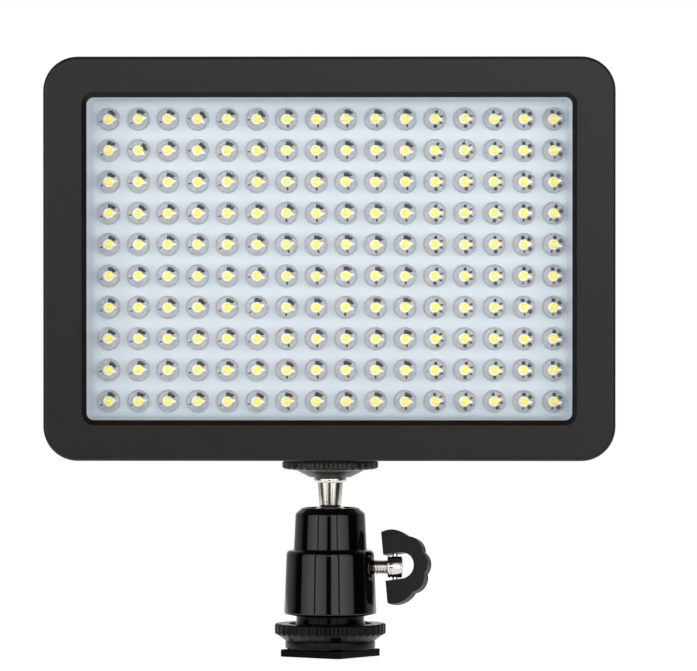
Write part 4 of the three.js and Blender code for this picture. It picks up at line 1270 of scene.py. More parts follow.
    def build_leds(self) -> None:
        """Sets a copy of the LED at each place, one piece for each row, none quite like its neighbour."""
        middle = self.middle
        patterns = [(start, self.led(gaps)) for start, gaps in self.gap_sets]
        chance = random.Random(self.seed)
        even, odd, tilt = self.spin, self.odd_spin, self.tilt
        for row in range(self.rows):
            z = middle + (row / (self.rows - 1) - 0.5) * self.grid[1] + self.grid_shift[1]
            copies = []
            for column in range(self.columns):
                x = (column / (self.columns - 1) - 0.5) * self.grid[0] + self.grid_shift[0]
                usual = chance.random() < self.even_share
                spin = chance.gauss(0, even) if usual else chance.uniform(-odd, odd)
                lean = [turn(chance.uniform(-tilt, tilt), axis) for axis in "XY"]
                place = at(x, self.floor, z) @ Facing.FRONT.matrix() @ lean[0] @ lean[1] @ turn(spin, "Z")
                pattern = [led for start, led in patterns if column >= start][-1]
                copies.append(copy_of(pattern, "led", place))
            self.add(joined(copies, f"led_row_{row + 1}"), None, "led_board", smooth=60, weighted=False)
        for start, pattern in patterns:
            scrap(pattern)


@dataclass
class RearHousing(SubAssembly):
    """The rear shell with its vents and screw towers, and the screws in them.

    A hole through the rear wall is given by its place on X, its height from the shell's centre
    and its radius.
    """

    corner: float = 8.3
    draft: float = 0.6
    edge: float = 3.0
    wall: float = 2.2
    tower_radius: float = 4.2
    tower_floor: float = -4.5
    bore: float = 3.0
    vent_count: int = 6
    vent_pitch: float = 4.0
    vent: Pair = (22.0, 1.8)
    vent_place: Pair = (47.0, 12.0)
    holes: tuple[Triple, ...] = (
        (-47.0, 16.0, 3.6),
        (-47.0, -4.0, 3.4),
        (47.0, -16.0, 4.2),
        (-53.0, -16.0, 1.15),
        (-49.0, -16.0, 1.15),
        (-45.0, -16.0, 1.15),
        (-41.0, -16.0, 1.15),
    )
    pocket_half: float = 6.6
    screw_turns: tuple[float, ...] = (17.0, 34.0, 51.0, 68.0)

    @property
    def middle(self) -> float:
        """Height of the shell's centre."""
        low, high = box("rear_housing")
        return (low.z + high.z) / 2

    def build(self) -> None:
        """Builds the shell, cuts everything through it, and sets the screws."""
        low, high = box("rear_housing")
        front, middle = box("front_bezel")[1].y, self.middle
        shell = block("rear_shell", (low.x, front, low.z), high, self.corner, steps=self.corner_steps)
        scale = (1 - self.draft / high.x, 1, 1 - self.draft / (high.z - middle))
        draw_in(shell, 1, high.y, scale, (0, high.y, middle))
        round_end(shell, high.y, self.edge, steps=6)
        inner = high.y - self.wall
        hollow = block(
            "hollow",
            (low.x + self.wall, front - OVERRUN, low.z + self.wall),
            (high.x - self.wall, inner, high.z - self.wall),
            self.corner - self.wall,
        )
        draw_in(hollow, 1, inner, scale, (0, inner, middle))
        carve(shell, hollow)
        towers = self.bores("tower", TOWERS, self.tower_radius, front, inner + OVERRUN, sides=24)
        carve(shell, joined(towers), how="UNION")
        carve(shell, joined(self.openings(inner - OVERRUN, high.y + OVERRUN)))
        fillet(shell, width=0.2, angle=40)
        self.add(shell, HOUSING, "bezel_plastic", "rear_housing")
        order = ((1, 1), (-1, 1), (-1, -1), (1, -1))
        places = [
            at(x * TOWER_X, self.tower_floor, middle + z * TOWER_Z) @ Facing.BACK.matrix() @ turn(angle, "Z")
            for (x, z), angle in zip(order, self.screw_turns)
        ]
        screw = cross_screw("shell_screw", shank=1.1, length=7.0, head=2.5, height=1.9)
        self.add_copies(screw, ZINC, "zinc", "housing_screw", places)
        self.keep(BRASS, "tripod_insert")

    def openings(self, inner: float, back: float) -> list[Piece]:
        """Makes what cuts the vents, the screw bores and the holes for what shows through the rear wall.

        Args:
            inner: Where the cuts start, inside the wall.
            back: Where they end, behind it.

        Returns:
            The cutting tools.
        """
        tools = []
        (wide, tall), (x, height) = self.vent, self.vent_place
        for index in range(self.vent_count):
            z = self.middle + height + (index - (self.vent_count - 1) / 2) * self.vent_pitch
            low, high = (x - wide / 2, inner, z - tall / 2), (x + wide / 2, back, z + tall / 2)
            tools.append(block("vent", low, high, tall / 2 - EPS, steps=6))
        tools += self.bores("bore", TOWERS, self.bore, self.tower_floor, back)
        for x, z, radius in self.holes:
            tools += self.bores("bore", [(x, z)], radius, inner, back)
        bottom, top = (self.middle + height for height in RELEASE_WINDOW)
        tools.append(block("pocket", (-self.pocket_half, inner, bottom), (self.pocket_half, back, top)))
        return tools

    def bores(
        self, name: str, places: Sequence[Pair], radius: float, start: float, end: float, sides: int = 32
    ) -> list[Piece]:
        """Makes a rod from front to back at each place.

        Args:
            name: The rods' name.
            places: Place on X of each, and its height from the shell's centre.
            radius: Their radius.
            start: Depth of their front.
            end: Depth of their back.
            sides: How many sides they have.

        Returns:
            The rods.
        """
        middle, shape = self.middle, (radius, start, end, sides, Facing.BACK)
        return [moved(rod(name, *shape), at(x, 0, middle + z)) for x, z in places]


@dataclass
class Electronics(SubAssembly):
    """What is inside the housing, which shows only through the vents."""

    def build(self) -> None:
        """Gives each node its finish."""
        self.keep(GREEN, "driver_board")
        self.keep(BLACK_PART, "board_connector", "driver_chip", "test_switch")
        self.keep(COPPER, "inductor")
        self.keep(ZINC, "capacitor_1", "capacitor_2", "dimmer_pot", "release_spring")
        self.keep(ZINC, "driver_screw_1", "driver_screw_2")
        self.keep(ZINC, *(f"led_board_screw_{number}" for number in range(1, 5)))


@dataclass
class Controls(SubAssembly):
    """The dimmer, the battery test, its gauge lights and the power jack on the rear face."""

    teeth: int = 18
    flute: float = 0.6
    grip: Triple = (7.4, 0, 9.1)
    knob: Profile = (
        (5.3, 0), (7.75, 0), (8, 0.25), (8, 8.7), (7.7, 9.2), (7, 9.9), (6.6, 10), (5.4, 10),
        (5.1, 9.75), (2.15, 9.75), (2.15, 3.1), (5.3, 3.1), (5.3, 0),
    )
    cap: Profile = ((0, 8), (2.1, 8), (2.1, 9.55), (1.9, 9.75), (0, 9.8))
    mark: tuple[Triple, Triple] = ((-0.4, 2.4, 9.7), (0.4, 6.7, 9.98))
    mark_corner: float = 0.3
    knob_turn: float = -30.0
    flange_depth: float = 2.35
    jack_depth: float = 2.2

    def build(self) -> None:
        """Builds the knob, the button, the gauge lights and the jack."""
        self.build_knob()
        self.build_button()
        self.build_gauge()
        self.build_jack()
        self.keep(ZINC, "pot_nut", "pot_shaft")

    def build_knob(self) -> None:
        """Builds the fluted knob with its white pointer, which rides on the dimmer."""
        knob = turned("knob", self.knob, self.teeth * 6)
        knurled(knob, self.teeth, self.flute, *self.grip)
        mark = block("pointer", *self.mark, self.mark_corner, along=2, steps=3)
        cap = turned("cap", self.cap, 32)
        base = at(0, box("dimmer_knob")[0].y, 0)
        place = centre_of("dimmer_knob") @ base @ turn(self.knob_turn, "Y") @ Facing.BACK.matrix()
        for part in (knob, mark, cap):
            moved(part, place)
        self.add(knob, CONTROL, "bezel_plastic", "dimmer_knob", body="dimmer")
        self.add(mark, MARK, "white_plastic", weighted=False, body="dimmer")
        self.add(cap, CONTROL, "bezel_plastic", body="dimmer")

    def build_button(self) -> None:
        """Builds the battery test button, slightly dished, with its stem behind the wall."""
        low, high = box("test_button")
        flange = box("rear_housing")[1].y - self.flange_depth
        profile = [
            *lifted(low.y, (0, 0), (1.6, 0)),
            *lifted(flange, (1.6, -1), (4.3, -1), (4.3, 0), (3.2, 0)),
            *lifted(high.y, (3.2, -0.45), (3.08, -0.16), (2.8, 0), (2.5, -0.02), (1.2, -0.3), (0, -0.34)),
        ]
        node = "test_button"
        button = moved(turned("test_key", profile, 40, Facing.BACK), centre_of(node))
        self.add(button, CONTROL, "bezel_plastic", node, smooth=40, weighted=False, body=node)

    def build_gauge(self) -> None:
        """Builds the four gauge lights: one domed light pipe, copied."""
        low, high = box("gauge_light_1")
        dome = lifted(high.y, (1.0, -0.4), (0.92, -0.18), (0.6, -0.02), (0, 0))
        pattern = turned("gauge_pipe", [(0, low.y), (1.0, low.y), *dome], 20, Facing.BACK)
        places = [centre_of(f"gauge_light_{number}") for number in range(1, 5)]
        self.add_copies(pattern, PIPE, "light_pipe", "gauge_light", places, smooth=60)

    def build_jack(self) -> None:
        """Builds the power jack: a round mouth with a centre pin."""
        low, high = box("power_jack")
        rear = box("rear_housing")[1].y - self.jack_depth
        body = block("jack_body", low, (high.x, rear, high.z), corner=0.5, steps=2)
        rim = lifted(high.y, (4.0, -0.25), (3.75, 0), (0, 0))
        mouth = lifted(high.y, (2.8, -0.3), (3.1, 0.1), (0, 0.1))
        tip = lifted(high.y, (1, -1.6), (0.75, -1.2), (0, -1.2))
        centre = centre_of("power_jack")
        collar, bore, pin = (
            moved(turned(name, [(0, start), (radius, start), *end], sides, Facing.BACK), centre)
            for name, radius, start, end, sides in (
                ("collar", 4.0, rear - 1, rim, 40),
                ("bore", 2.8, low.y + 1.2, mouth, 40),
                ("jack_pin", 1, low.y + 1, tip, 20),
            )
        )
        carve(body, collar, how="UNION")
        self.add(carve(body, bore), BLACK_PART, "black_plastic", "power_jack", weighted=False)
        self.add(pin, ZINC, "zinc", smooth=40, weighted=False)


@dataclass
class BatteryBay(SubAssembly):
    """The battery plate with its rails, contacts and release."""

    base: float = 3.0
    wall: float = 3.4
    hook: float = 2.0
    rail_end: float = 30.0
    notch: float = 12.0
    screw_x: float = 14.0
    screw_heights: Pair = (-16.0, 26.0)
    screw_turn: float = 31.0
    head_depth: float = 1.3
    gap_depth: float = 0.15
    contact_room: float = 0.15
    window_half: float = 5.3
    key_half: float = 5.0
    key_room: float = 0.15
    key_root: float = 1.5
    flange: float = 0.9
    tooth: float = 2.2
    pad: Pair = (4.4, 1.2)
    rib_starts: Triple = (-3.9, -2.8, -1.7)
    rib_width: float = 0.5
    rib_floor: float = 0.8
    rib_margin: float = 0.8

    def build(self) -> None:
        """Builds the plate and what it holds."""
        self.build_plate()
        seat = box("plate_screw_1")[1].y - self.head_depth
        places = [
            at(x, seat, self.middle + z) @ Facing.BACK.matrix() @ turn(self.screw_turn * number, "Z")
            for number, (x, z) in enumerate(self.screw_places(), 1)
        ]
        screw = cross_screw("bay_screw", shank=1.0, length=4.5, head=2.0, height=self.head_depth)
        self.add_copies(screw, ZINC, "zinc", "plate_screw", places)
        self.build_contacts()
        self.build_release()

    def screw_places(self) -> list[Pair]:
        """Where the plate's screws are, from its centre line and the panel's centre."""
        return [(x, z) for z in self.screw_heights for x in (-self.screw_x, self.screw_x)]

    def build_plate(self) -> None:
        """Builds the plate as a slab with two hooked rails and a stop."""
        low, high = box("battery_plate")
        floor, top = low.y + self.base, self.middle + self.rail_end
        plate = block("rail_plate", low, (high.x, floor, high.z), corner=1.2, steps=4)
        for side in (-1, 1):
            carve(plate, self.rail(side, low, high, top), how="UNION")
        carve(plate, block("stop", low, (high.x, high.y, low.z + self.wall)), how="UNION")
        even_normals(plate)
        fillet(plate, width=0.35, steps=3, angle=40)
        start, end = low.y - OVERRUN, floor + OVERRUN
        head = lifted(floor, (1.15, -1.45), (2.15, -1.45), (2.15, -0.2), (2.35, 0))
        profile = [(0, start), (1.15, start), *head, (2.35, end), (0, end)]
        tools = []
        for x, z in sorted(self.screw_places()):
            bore = turned("bore", profile, 32, Facing.BACK)
            tools.append(moved(bore, at(x, 0, self.middle + z)))
        bottom, lid = (self.middle + height for height in RELEASE_WINDOW)
        window = ((-self.window_half, start, bottom), (self.window_half, end, lid))
        tools.append(block("release_window", *window, corner=0.4, steps=3))
        self.add(carve(plate, joined(tools)), PLATE, "black_plastic", "battery_plate")

    def rail(self, side: int, low: Vector, high: Vector, top: float) -> Piece:
        """Builds a rail with its hook, which has a gap at the middle of its length.

        Args:
            side: -1 for the left rail, 1 for the right one.
            low: The plate's lowest corner.
            high: The plate's highest corner.
            top: Where the rail ends.

        Returns:
            The rail.
        """
        inner, centre = high.x - self.wall, (low.z + top) / 2
        under, half = high.y - self.hook, self.notch / 2
        tip = inner - self.hook
        pairs = ((inner, high.x), (tip, high.x), (tip - OVERRUN, inner))
        spans = [sorted((side * near, side * far)) for near, far in pairs]
        rail = block("rail", (spans[0][0], low.y, low.z), (spans[0][1], high.y, top))
        carve(rail, block("hook", (spans[1][0], under, low.z), (spans[1][1], high.y, top)), how="UNION")
        corner = (spans[2][0], under - self.gap_depth, centre - half)
        return carve(rail, block("gap", corner, (spans[2][1], high.y + OVERRUN, centre + half)))

    def build_contacts(self) -> None:
        """Builds the contact block and its blades."""
        low, high = box("contact_block")
        carrier = block("contact_carrier", low, high, corner=0.5, steps=3)
        blades = [box(f"contact_{number}") for number in range(1, 4)]
        room = self.contact_room
        slots = [
            block("slot", near - Vector((room, room, room)), (far.x + room, far.y + room, high.z + OVERRUN))
            for near, far in blades
        ]
        carve(carrier, joined(slots))
        fillet(carrier, width=0.2)
        self.add(carrier, BLACK_PART, "black_plastic", "contact_block")
        for number, (near, far) in enumerate(blades, 1):
            blade = block(f"contact_blade_{number}", near, far, corner=0.25, along=0, steps=3)
            fillet(blade, width=0.08)
            self.add(blade, GOLD, "gold", f"contact_{number}", weighted=False)

    def build_release(self) -> None:
        """Builds the release: a tooth that catches the battery, and a ribbed pad for the thumb."""
        low, high = box("battery_release")
        floor, half, tooth_top = box("battery_plate")[0].y + self.base, self.key_half, low.z + self.tooth
        under, width, dip = floor - self.key_root, half - self.rib_margin, floor + self.rib_floor
        length, rise = self.pad
        slab = block("release_key", (-half, low.y, low.z), (half, floor - self.key_room, high.z))
        flange = block("flange", low, (high.x, low.y + self.flange, high.z))
        tooth = block("tooth", (-half, under, low.z), (half, floor + self.tooth, tooth_top))
        draw_in(tooth, 2, tooth_top, (1, 0.45, 1), (0, under, 0))
        pad = block("pad", (-half, under, high.z - length), (half, floor + rise, high.z))
        carve(slab, flange, tooth, pad, how="UNION")
        grooves = [
            block("groove", (-width, dip, start), (width, floor + 2, start + self.rib_width))
            for start in (high.z + shift for shift in self.rib_starts)
        ]
        even_normals(slab)
        carve(slab, joined(grooves))
        fillet(slab, width=0.18, angle=40)
        self.add(slab, CONTROL, "bezel_plastic", "battery_release", body="release")


@dataclass
class BallHead(SubAssembly):
    """The ball head, from the shoe foot to the friction pad under the light."""

    body: str = "base"
    sides: int = 96
    post_bore: float = 3.35
    foot_half: float = 9.3
    foot_clip: float = 0.8
    foot_turn: float = 55.0
    foot_bore: Pair = (4.75, 0.9)
    wheel_teeth: int = 40
    wheel_phase: float = 1.3
    disc_teeth: int = 32
    rim_height: float = 1.65
    shoulder: float = 16.8
    ball_radius: float = 6.5
    socket_radius: float = 6.65
    mouth: float = 5.5
    thread_pitch: float = 1.27
    thread_root: float = 2.75
    thread_depth: float = 0.425

    def build(self) -> None:
        """Builds the head from the foot up."""
        self.build_foot()
        self.build_wheel()
        self.build_housing()
        self.build_neck()
        self.build_stem()
        self.build_disc()
        self.keep(ACETAL, "ball_seat", "pressure_plug")
        self.keep(ZINC, "shoe_post")

    def build_foot(self) -> None:
        """Builds the square foot with its clipped corners, and the pressure ring above it."""
        thickness, half, hole = box("shoe_foot")[1].z, self.foot_half, self.post_bore
        low, high = (-half, -half, 0), (half, half, thickness)
        foot = block("foot_plate", low, high, self.foot_clip, along=2, steps=1)
        (wide, deep), start, end = self.foot_bore, -OVERRUN, thickness + OVERRUN
        profile = [(0, start), (wide, start), (wide, deep), (hole, deep), (hole, end), (0, end)]
        carve(foot, turned("bore", profile, 40))
        fillet(foot, width=0.16, angle=40)
        self.add(moved(foot, turn(self.foot_turn, "Z")), FOOT_BLACK, "black_metal", "shoe_foot")
        low, high = box("pressure_ring")
        outer = [
            *lifted(low.z, (hole, 0), (10.9, 0), (11.2, 0.12), (11.36, 0.4)),
            *lifted(high.z, (11.36, -0.3), (11.2, 0), (hole, 0)),
        ]
        ring = turned("ring_plate", [*outer, outer[0]], self.sides)
        self.add(ring, SATIN, "black_metal", "pressure_ring", body="ring")

    def build_wheel(self) -> None:
        """Builds the knurled lock wheel, dished on top."""
        low, high = box("lock_wheel")
        top, rim = high.z, low.z + self.rim_height
        profile = [
            *lifted(low.z, (self.post_bore, 0), (11.4, 0)),
            *lifted(rim, (13.1, -0.35), (13.75, -0.05), (14.03, 0.25)),
            *lifted(top, (14.03, -0.3), (13.75, 0), (10.7, 0), (10.5, -0.2)),
            *lifted(rim, (10.2, 0), (self.post_bore, 0)),
            (self.post_bore, low.z),
        ]
        wheel = turned("wheel_knurled", profile, self.wheel_teeth * 6)
        knurled(wheel, self.wheel_teeth, depth=0.45, reach=13.5, low=rim - 0.1, high=top + 0.1)
        moved(wheel, turn(self.wheel_phase, "Z"))
        self.add(wheel, SATIN, "black_metal", "lock_wheel", smooth=28, body="wheel")

    def build_housing(self) -> None:
        """Builds the gloss black housing round its socket."""
        low, high = box("ball_housing")
        bottom, top, radius = low.z, high.z, self.socket_radius
        ball = box("ball_stem")[0].z + self.ball_radius
        rise = math.acos(self.mouth / radius)
        angles = [share * rise for share in (1.0, 0.8, 0.6, 0.4, 0.2, 0.0)]
        profile = [
            *lifted(bottom, (7.55, 0), (8.6, 0), (11.35, 0.62), (11.62, 0.8), (11.7, 1.1)),
            *lifted(bottom + self.shoulder, (11.12, -1.25), (11.0, -0.7), (10.7, -0.28), (10.2, -0.03)),
            *lifted(bottom + self.shoulder, (9.62, 0), (9.4, 0.06), (9.24, 0.3)),
            *lifted(top, (8.82, -1.85), (8.74, -1.5), (8.6, -1.3), (7.2, -0.1), (6.98, 0)),
            *lifted(top, (6.6, 0), (6.45, -0.2)),
            *((radius * math.cos(angle), ball + radius * math.sin(angle)) for angle in angles),
            *lifted(bottom, (radius, 5.15), (7.55, 5.15), (7.55, 0)),
        ]
        housing = turned("housing_gloss", profile, self.sides)
        bore = rod("bore", radius=2.35, low=0, high=13, sides=40, facing=Facing.RIGHT)
        carve(housing, moved(bore, at(0, 0, LOCK_HEIGHT)))
        self.add(housing, GLOSS, "gloss_black", "ball_housing", smooth=30)

    def build_neck(self) -> None:
        """Builds the plug that closes the housing from below."""
        low, high = box("base_plug")
        bottom = box("ball_housing")[0].z
        profile = [
            *lifted(low.z, (0, 6.1), (self.post_bore, 6.1), (self.post_bore, 0), (8.85, 0)),
            *lifted(low.z, (8.9, 0.12), (8.7, 0.35), (8.6, 0.7)),
            *((8.6, bottom), (7.4, bottom), (7.4, high.z), (0, high.z)),
        ]
        neck = turned("neck_gloss", profile, self.sides)
        # The plug takes the dimmed gloss black: painted shade under the housing.
        self.add(neck, NECK_SHADE_BLACK, "gloss_black", "base_plug", smooth=30)

    def build_stem(self) -> None:
        """Builds the chrome ball with its flared stem, collar and threaded stud."""
        low, high = box("ball_stem")
        top, radius, root, pitch = high.z, self.ball_radius, self.thread_root, self.thread_pitch
        ball = low.z + radius
        collar = box("lock_disc")[0].z - 0.1
        arc = [math.radians(angle) for angle in (*range(0, 150, 9), 155.2)]
        profile = [(radius * math.sin(angle), ball - radius * math.cos(angle)) for angle in arc]
        profile += lifted(ball, (2.78, 6.4))
        profile += lifted(collar, (3.2, -1.3), (3.42, -1.2), (4.0, -1.2), (4.1, -1.08))
        profile += lifted(collar, (4.1, -0.12), (4.0, 0), (2.9, 0))
        crest = root + self.thread_depth
        for index in range(int((top - collar - 0.8) / pitch)):
            start = collar + 0.4 + index * pitch
            profile += lifted(start, (root, 0), (crest, pitch * 0.4), (crest, pitch * 0.6))
        profile += lifted(top, (root, -0.45), (2.4, 0), (0, 0))
        stem = turned("stem_chrome", profile, 72)
        self.add(stem, CHROME, "chrome", "ball_stem", smooth=40, body="ball")

    def build_disc(self) -> None:
        """Builds the knurled lock disc and the pad on it."""
        low, high = box("lock_disc")
        top, rim = high.z, high.z - self.rim_height
        profile = [
            *lifted(low.z, (self.post_bore, 0), (5.3, 0), (8.2, 1.5), (8.6, 1.7)),
            *lifted(rim, (11.4, -0.2), (11.85, 0), (12.1, 0.2)),
            *lifted(top, (12.1, -0.15), (11.95, 0), (self.post_bore, 0)),
            (self.post_bore, low.z),
        ]
        disc = turned("disc_knurled", profile, self.disc_teeth * 6)
        knurled(disc, self.disc_teeth, depth=0.5, reach=11.7, low=rim - 0.05, high=top + 0.1)
        self.add(disc, DISC_BLACK, "black_metal", "lock_disc", smooth=28, body="disc")
        self.keep(RUBBER, "friction_pad")


@dataclass
class LockScrew(SubAssembly):
    """The lock screw with its thread and round head, the wing, and the pin that joins them."""

    body: str = "lock_screw"
    pitch: float = 0.7
    flank_share: float = 0.36
    crest: float = 1.95
    root: float = 1.62
    start: float = 8.5
    head_start: float = 14.4
    head_length: float = 3.9
    head_radius: float = 2.72
    screw_lean: float = -10.0
    pin: Profile = ((0, -6.8), (0.5, -6.8), (0.65, -6.6), (0.65, 6.6), (0.5, 6.8), (0, 6.8))
    wing_turn: float = -17.0
    wing_thickness: float = 3.3
    wing_lean: float = 5.4
    web_radius: float = 8.3
    lobe_peak: float = 9.15
    lobe_radius: float = 3.9
    lobe_pitch: float = 38.5
    arm: float = 2.35
    arm_round: Triple = (-0.3, 3.55, 5.93)
    slot: float = 3.35
    slot_centre: float = 2.1

    def build(self) -> None:
        """Builds the screw and its wing, and turns them as they stand."""
        leaning = at(0, 0, LOCK_HEIGHT) @ turn(self.screw_lean, "X")
        hinge = leaning @ at(self.head_start + self.head_length / 2, 0, 0)
        screw = moved(self.screw(), leaning)
        self.add(screw, CHROME_SIDE, "chrome", "lock_screw", smooth=32, weighted=False)
        pin = moved(turned("pin_chrome", self.pin, 20), hinge)
        self.add(pin, CHROME_SIDE, "chrome", "wing_pin", weighted=False)
        upright = turn(self.wing_turn, "Z") @ turn(90, "X") @ turn(self.wing_lean, "Z")
        self.add(moved(self.wing(), hinge @ upright), WING_BLACK, "black_metal", "wing", body="wing")

    def screw(self) -> Piece:
        """Builds the screw along X: a real helix for its thread, on a core, with a turned head.

        Returns:
            The screw.
        """
        core = rod("core", self.root - 0.02, self.start, self.head_start + 0.5)
        thread = self.thread()
        near, far, radius = self.head_start, self.head_start + self.head_length, self.head_radius
        profile = [
            *lifted(near, (0, 0), (2.45, 0), (2.66, 0.12), (radius, 0.35), (radius, 0.75)),
            *lifted(near, (2.58, 0.85), (2.58, 1.0), (radius, 1.1)),
            *lifted(far, (radius, -0.45), (2.62, -0.2), (2.4, -0.05), (2.1, 0), (0, 0)),
        ]
        whole = joined([core, thread, turned("head", profile, 48)], "screw_chrome")
        return moved(whole, Facing.RIGHT.matrix())

    def thread(self) -> Piece:
        """Winds the section of a ridge, made from a plane's edges, into a helix about Z.

        Returns:
            The thread.
        """
        clear()
        bpy.ops.mesh.primitive_plane_add(size=1)
        thread = bpy.context.object
        half, root, crest = self.pitch / 2, self.root, self.crest
        rise = half - self.pitch * self.flank_share
        section = [(root, -half), (crest, -rise), (root, half), (crest, rise)]
        with editing(thread):
            bpy.ops.mesh.delete(type="ONLY_FACE")
            pick(thread, "EDGE", lambda edge: all(end.co.y > 0 for end in edge.verts))
            bpy.ops.mesh.delete(type="EDGE")
            form = bmesh.from_edit_mesh(thread.data)
            ends = sorted(form.verts, key=lambda vertex: (vertex.co.x, vertex.co.y))
            for vertex, (radius, height) in zip(ends, section):
                vertex.co = (radius, 0, height)
            bmesh.update_edit_mesh(thread.data)
        moved(thread, at(0, 0, self.start + 0.5))
        winding = {"axis": "Z", "angle": 2 * math.pi, "screw_offset": self.pitch, "iterations": 8}
        modify(thread, "SCREW", **winding, steps=32, render_steps=32)
        even_normals(thread)
        return thread

    def wing(self) -> Piece:
        """Builds the wing about its pin: three lobes between two arms, with a slot for the screw's head.

        Returns:
            The wing, flat in X and Y.
        """
        half, centre = self.wing_thickness / 2, self.lobe_peak - self.lobe_radius
        x, y, radius = self.arm_round
        rounds = [(x, y, radius), (x, -y, radius)]
        for angle in (math.radians(step * self.lobe_pitch) for step in (-1, 0, 1)):
            rounds.append((centre * math.cos(angle), centre * math.sin(angle), self.lobe_radius))
        wing = rod("wing_lobed", self.web_radius, -half, half, 72)
        for x, y, radius in rounds:
            carve(wing, moved(rod("round", radius, -half, half, 72), at(x, y, 0)), how="UNION")
        reach, deep, slot = 12, half + OVERRUN, self.slot
        cut = block("cut", (-reach, -reach, -deep), (-self.arm, reach, deep))
        low, high = (-reach, -slot, -deep), (self.slot_centre + slot, slot, deep)
        carve(wing, cut, block("slot", low, high, slot - EPS, along=2, steps=12))
        merge_flats(wing)
        even_normals(wing)
        fillet(wing, width=0.5, steps=4, angle=40)
        return wing


# Studio


@dataclass(frozen=True)
class SoftBox:
    """A large upright soft lamp, brightest at the bar down its front and fading to its sides.

    Its place is by azimuth from the camera's side, height and distance, in metres.
    """

    name: str
    azimuth: float
    height: float
    distance: float
    widths: Pair
    rise: float
    radiance: float
    colour: Triple = (1.0, 1.0, 1.0)
    bar: float = 0.0
    spread: float = 104.0

    def build(self, target: Vector) -> None:
        """Adds the lamp as a panel on each side of its bar.

        Args:
            target: What it faces.
        """
        angle, half = math.radians(self.azimuth), math.radians(self.spread / 2)
        place = Vector((self.distance * math.sin(angle), -self.distance * math.cos(angle), self.height))
        facing = Vector((target.x - place.x, target.y - place.y, 0)).to_track_quat("-Z", "Y")
        fade = 1 - half / math.tan(half)
        for side, width in zip((-1, 1), self.widths):
            panel = bpy.data.lights.new(self.name, "AREA")
            panel.shape, panel.size, panel.size_y = "RECTANGLE", width, self.rise
            panel.spread = 2 * half
            panel.energy = self.radiance * math.pi * width * self.rise * fade
            panel.color = self.colour
            stand = bpy.data.objects.new(self.name, panel)
            stand.location = place + facing @ Vector((side * (self.bar + width) / 2, 0, 0))
            stand.rotation_euler = facing.to_euler()
            stand.visible_camera = False
            bpy.context.scene.collection.objects.link(stand)
            log.info("%s: %.1f W", self.name, panel.energy)


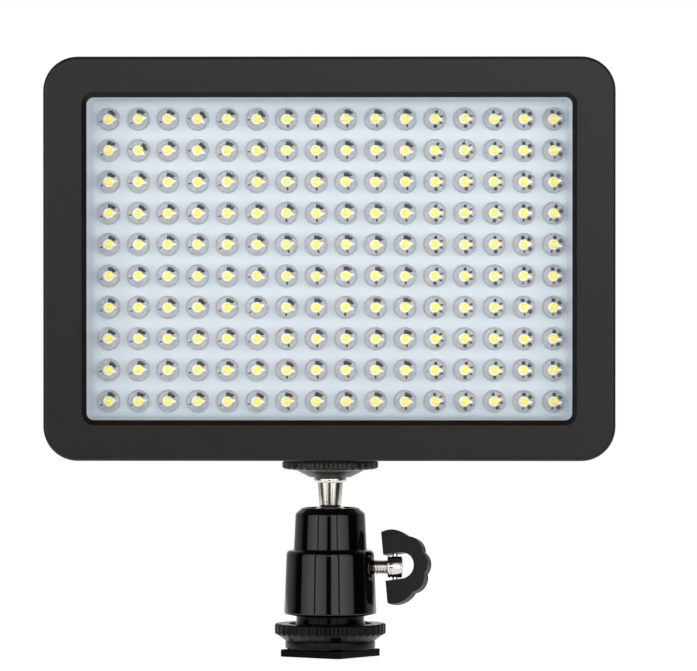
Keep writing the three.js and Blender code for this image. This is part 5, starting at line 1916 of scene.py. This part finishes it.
@dataclass
class Studio:
    """A pale floor in a white room, with soft lamps and the camera at the photograph's angle.

    Each glow of the room is its low and high strength, and where on an axis it starts and ends.
    """

    camera_place: Triple = (0.030, -1.515, 0.100)
    camera_target: Triple = (0.0046, 0.0, 0.081)
    lens: float = 310.0
    sensor: float = 36.0
    floor_radius: float = 0.3
    floor_place: Triple = (0, 0.17, -0.0001)
    floor_glow: float = 0.85
    side_glow: tuple[float, ...] = (0.02, 0.45, 0.08, 0.38)
    back_glow: tuple[float, ...] = (0.0, 0.55, 0.86, 0.98)
    soft_glow: tuple[float, ...] = (0.75, 0.1, -0.35, 0.35)
    lamp_target: Triple = (0, 0, 0.09)
    lamps: tuple[SoftBox, ...] = (
        SoftBox("left_box", -38.5, 0.49, 1.2, (0.92, 0.64), 1.36, 2.2, (1.0, 0.985, 0.96), bar=0.08),
        SoftBox("right_box", 23.0, 0.85, 1.2, (0.39, 0.94), 2.1, 2.3, (1.0, 0.975, 0.94), bar=0.08),
        SoftBox("front_box", 2.0, 0.36, 1.3, (0.25, 0.25), 0.27, 2.7, spread=170.0),
    )

    def build(self) -> None:
        """Adds the floor, the room, the lamps and the camera."""
        bpy.context.scene.view_settings.view_transform = "Standard"
        self.build_floor()
        self.build_room()
        for lamp in self.lamps:
            lamp.build(Vector(self.lamp_target))
        self.build_camera()

    def build_camera(self) -> None:
        """Adds the camera and makes it the scene's."""
        lens = bpy.data.cameras.new("camera")
        lens.lens, lens.sensor_width, lens.clip_start = self.lens, self.sensor, 0.01
        camera = bpy.data.objects.new("camera", lens)
        camera.location = self.camera_place
        way = Vector(self.camera_target) - camera.location
        camera.rotation_euler = way.to_track_quat("-Z", "Y").to_euler()
        bpy.context.scene.collection.objects.link(camera)
        bpy.context.scene.camera = camera

    def build_floor(self) -> None:
        """Adds the round floor, which stays pale to the camera, keeps the shadow and is clear from below."""
        clear()
        bpy.ops.mesh.primitive_circle_add(
            vertices=96, radius=self.floor_radius, fill_type="NGON", location=self.floor_place
        )
        floor = bpy.context.object
        floor.name = "floor"
        made = bpy.data.materials.new("pale_floor")
        made.use_nodes = True
        wiring, nodes = Wiring(made.node_tree), made.node_tree.nodes
        path = wiring.node("LightPath").outputs
        camera = path["Is Camera Ray"]
        rays = wiring.math("MAXIMUM", camera, path["Is Glossy Ray"])
        seen = wiring.math("MAXIMUM", rays, path["Is Transmission Ray"])
        shader = wiring.feed(
            nodes["Principled BSDF"],
            Base_Color=(0.93, 0.93, 0.93, 1),
            Roughness=0.9,
            Specular_IOR_Level=0.0,
            Emission_Color=(1, 1, 1, 1),
            Emission_Strength=wiring.math("MULTIPLY", seen, self.floor_glow),
        )
        below = wiring.math("MULTIPLY", wiring.node("NewGeometry").outputs["Backfacing"], camera)
        mix, clear_view = wiring.node("MixShader"), wiring.node("BsdfTransparent")
        for socket, value in zip(mix.inputs, (below, shader.outputs[0], clear_view.outputs[0])):
            wiring.put(socket, value)
        wiring.feed(nodes["Material Output"], Surface=mix.outputs[0])
        floor.data.materials.append(made)

    def build_room(self) -> None:
        """Makes the room white to the camera, dim in reflections of its side, and softly lit from below."""
        world = bpy.data.worlds.new("room")
        bpy.context.scene.world = world
        world.use_nodes = True
        wiring = Wiring(world.node_tree)
        path = wiring.node("LightPath").outputs
        view = wiring.node("TexCoord").outputs["Generated"]
        way = wiring.feed(wiring.node("SeparateXYZ"), Vector=view).outputs
        glows = [wiring.spread(way[1], *glow) for glow in (self.side_glow, self.back_glow)]
        glossy = wiring.math("MULTIPLY", path["Is Glossy Ray"], wiring.math("ADD", *glows))
        clear_view = wiring.math("MAXIMUM", path["Is Camera Ray"], path["Is Transmission Ray"])
        other = wiring.math("SUBTRACT", 1.0, wiring.math("MAXIMUM", clear_view, path["Is Glossy Ray"]))
        soft = wiring.math("MULTIPLY", other, wiring.spread(way[2], *self.soft_glow))
        strength = wiring.math("ADD", wiring.math("MAXIMUM", clear_view, glossy), soft)
        wiring.feed(world.node_tree.nodes["Background"], Color=(1, 1, 1, 1), Strength=strength)


def main() -> None:
    """Loads the frame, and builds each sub-assembly round it."""
    logging.basicConfig(level=logging.INFO, format="%(message)s")
    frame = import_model()
    Studio().build()
    for kind in (FrontBezel, LightWell, RearHousing, Electronics, Controls, BatteryBay, BallHead, LockScrew):
        log.info("%s:", kind.__name__)
        kind(frame).build()


if __name__ == "__main__":
    main()
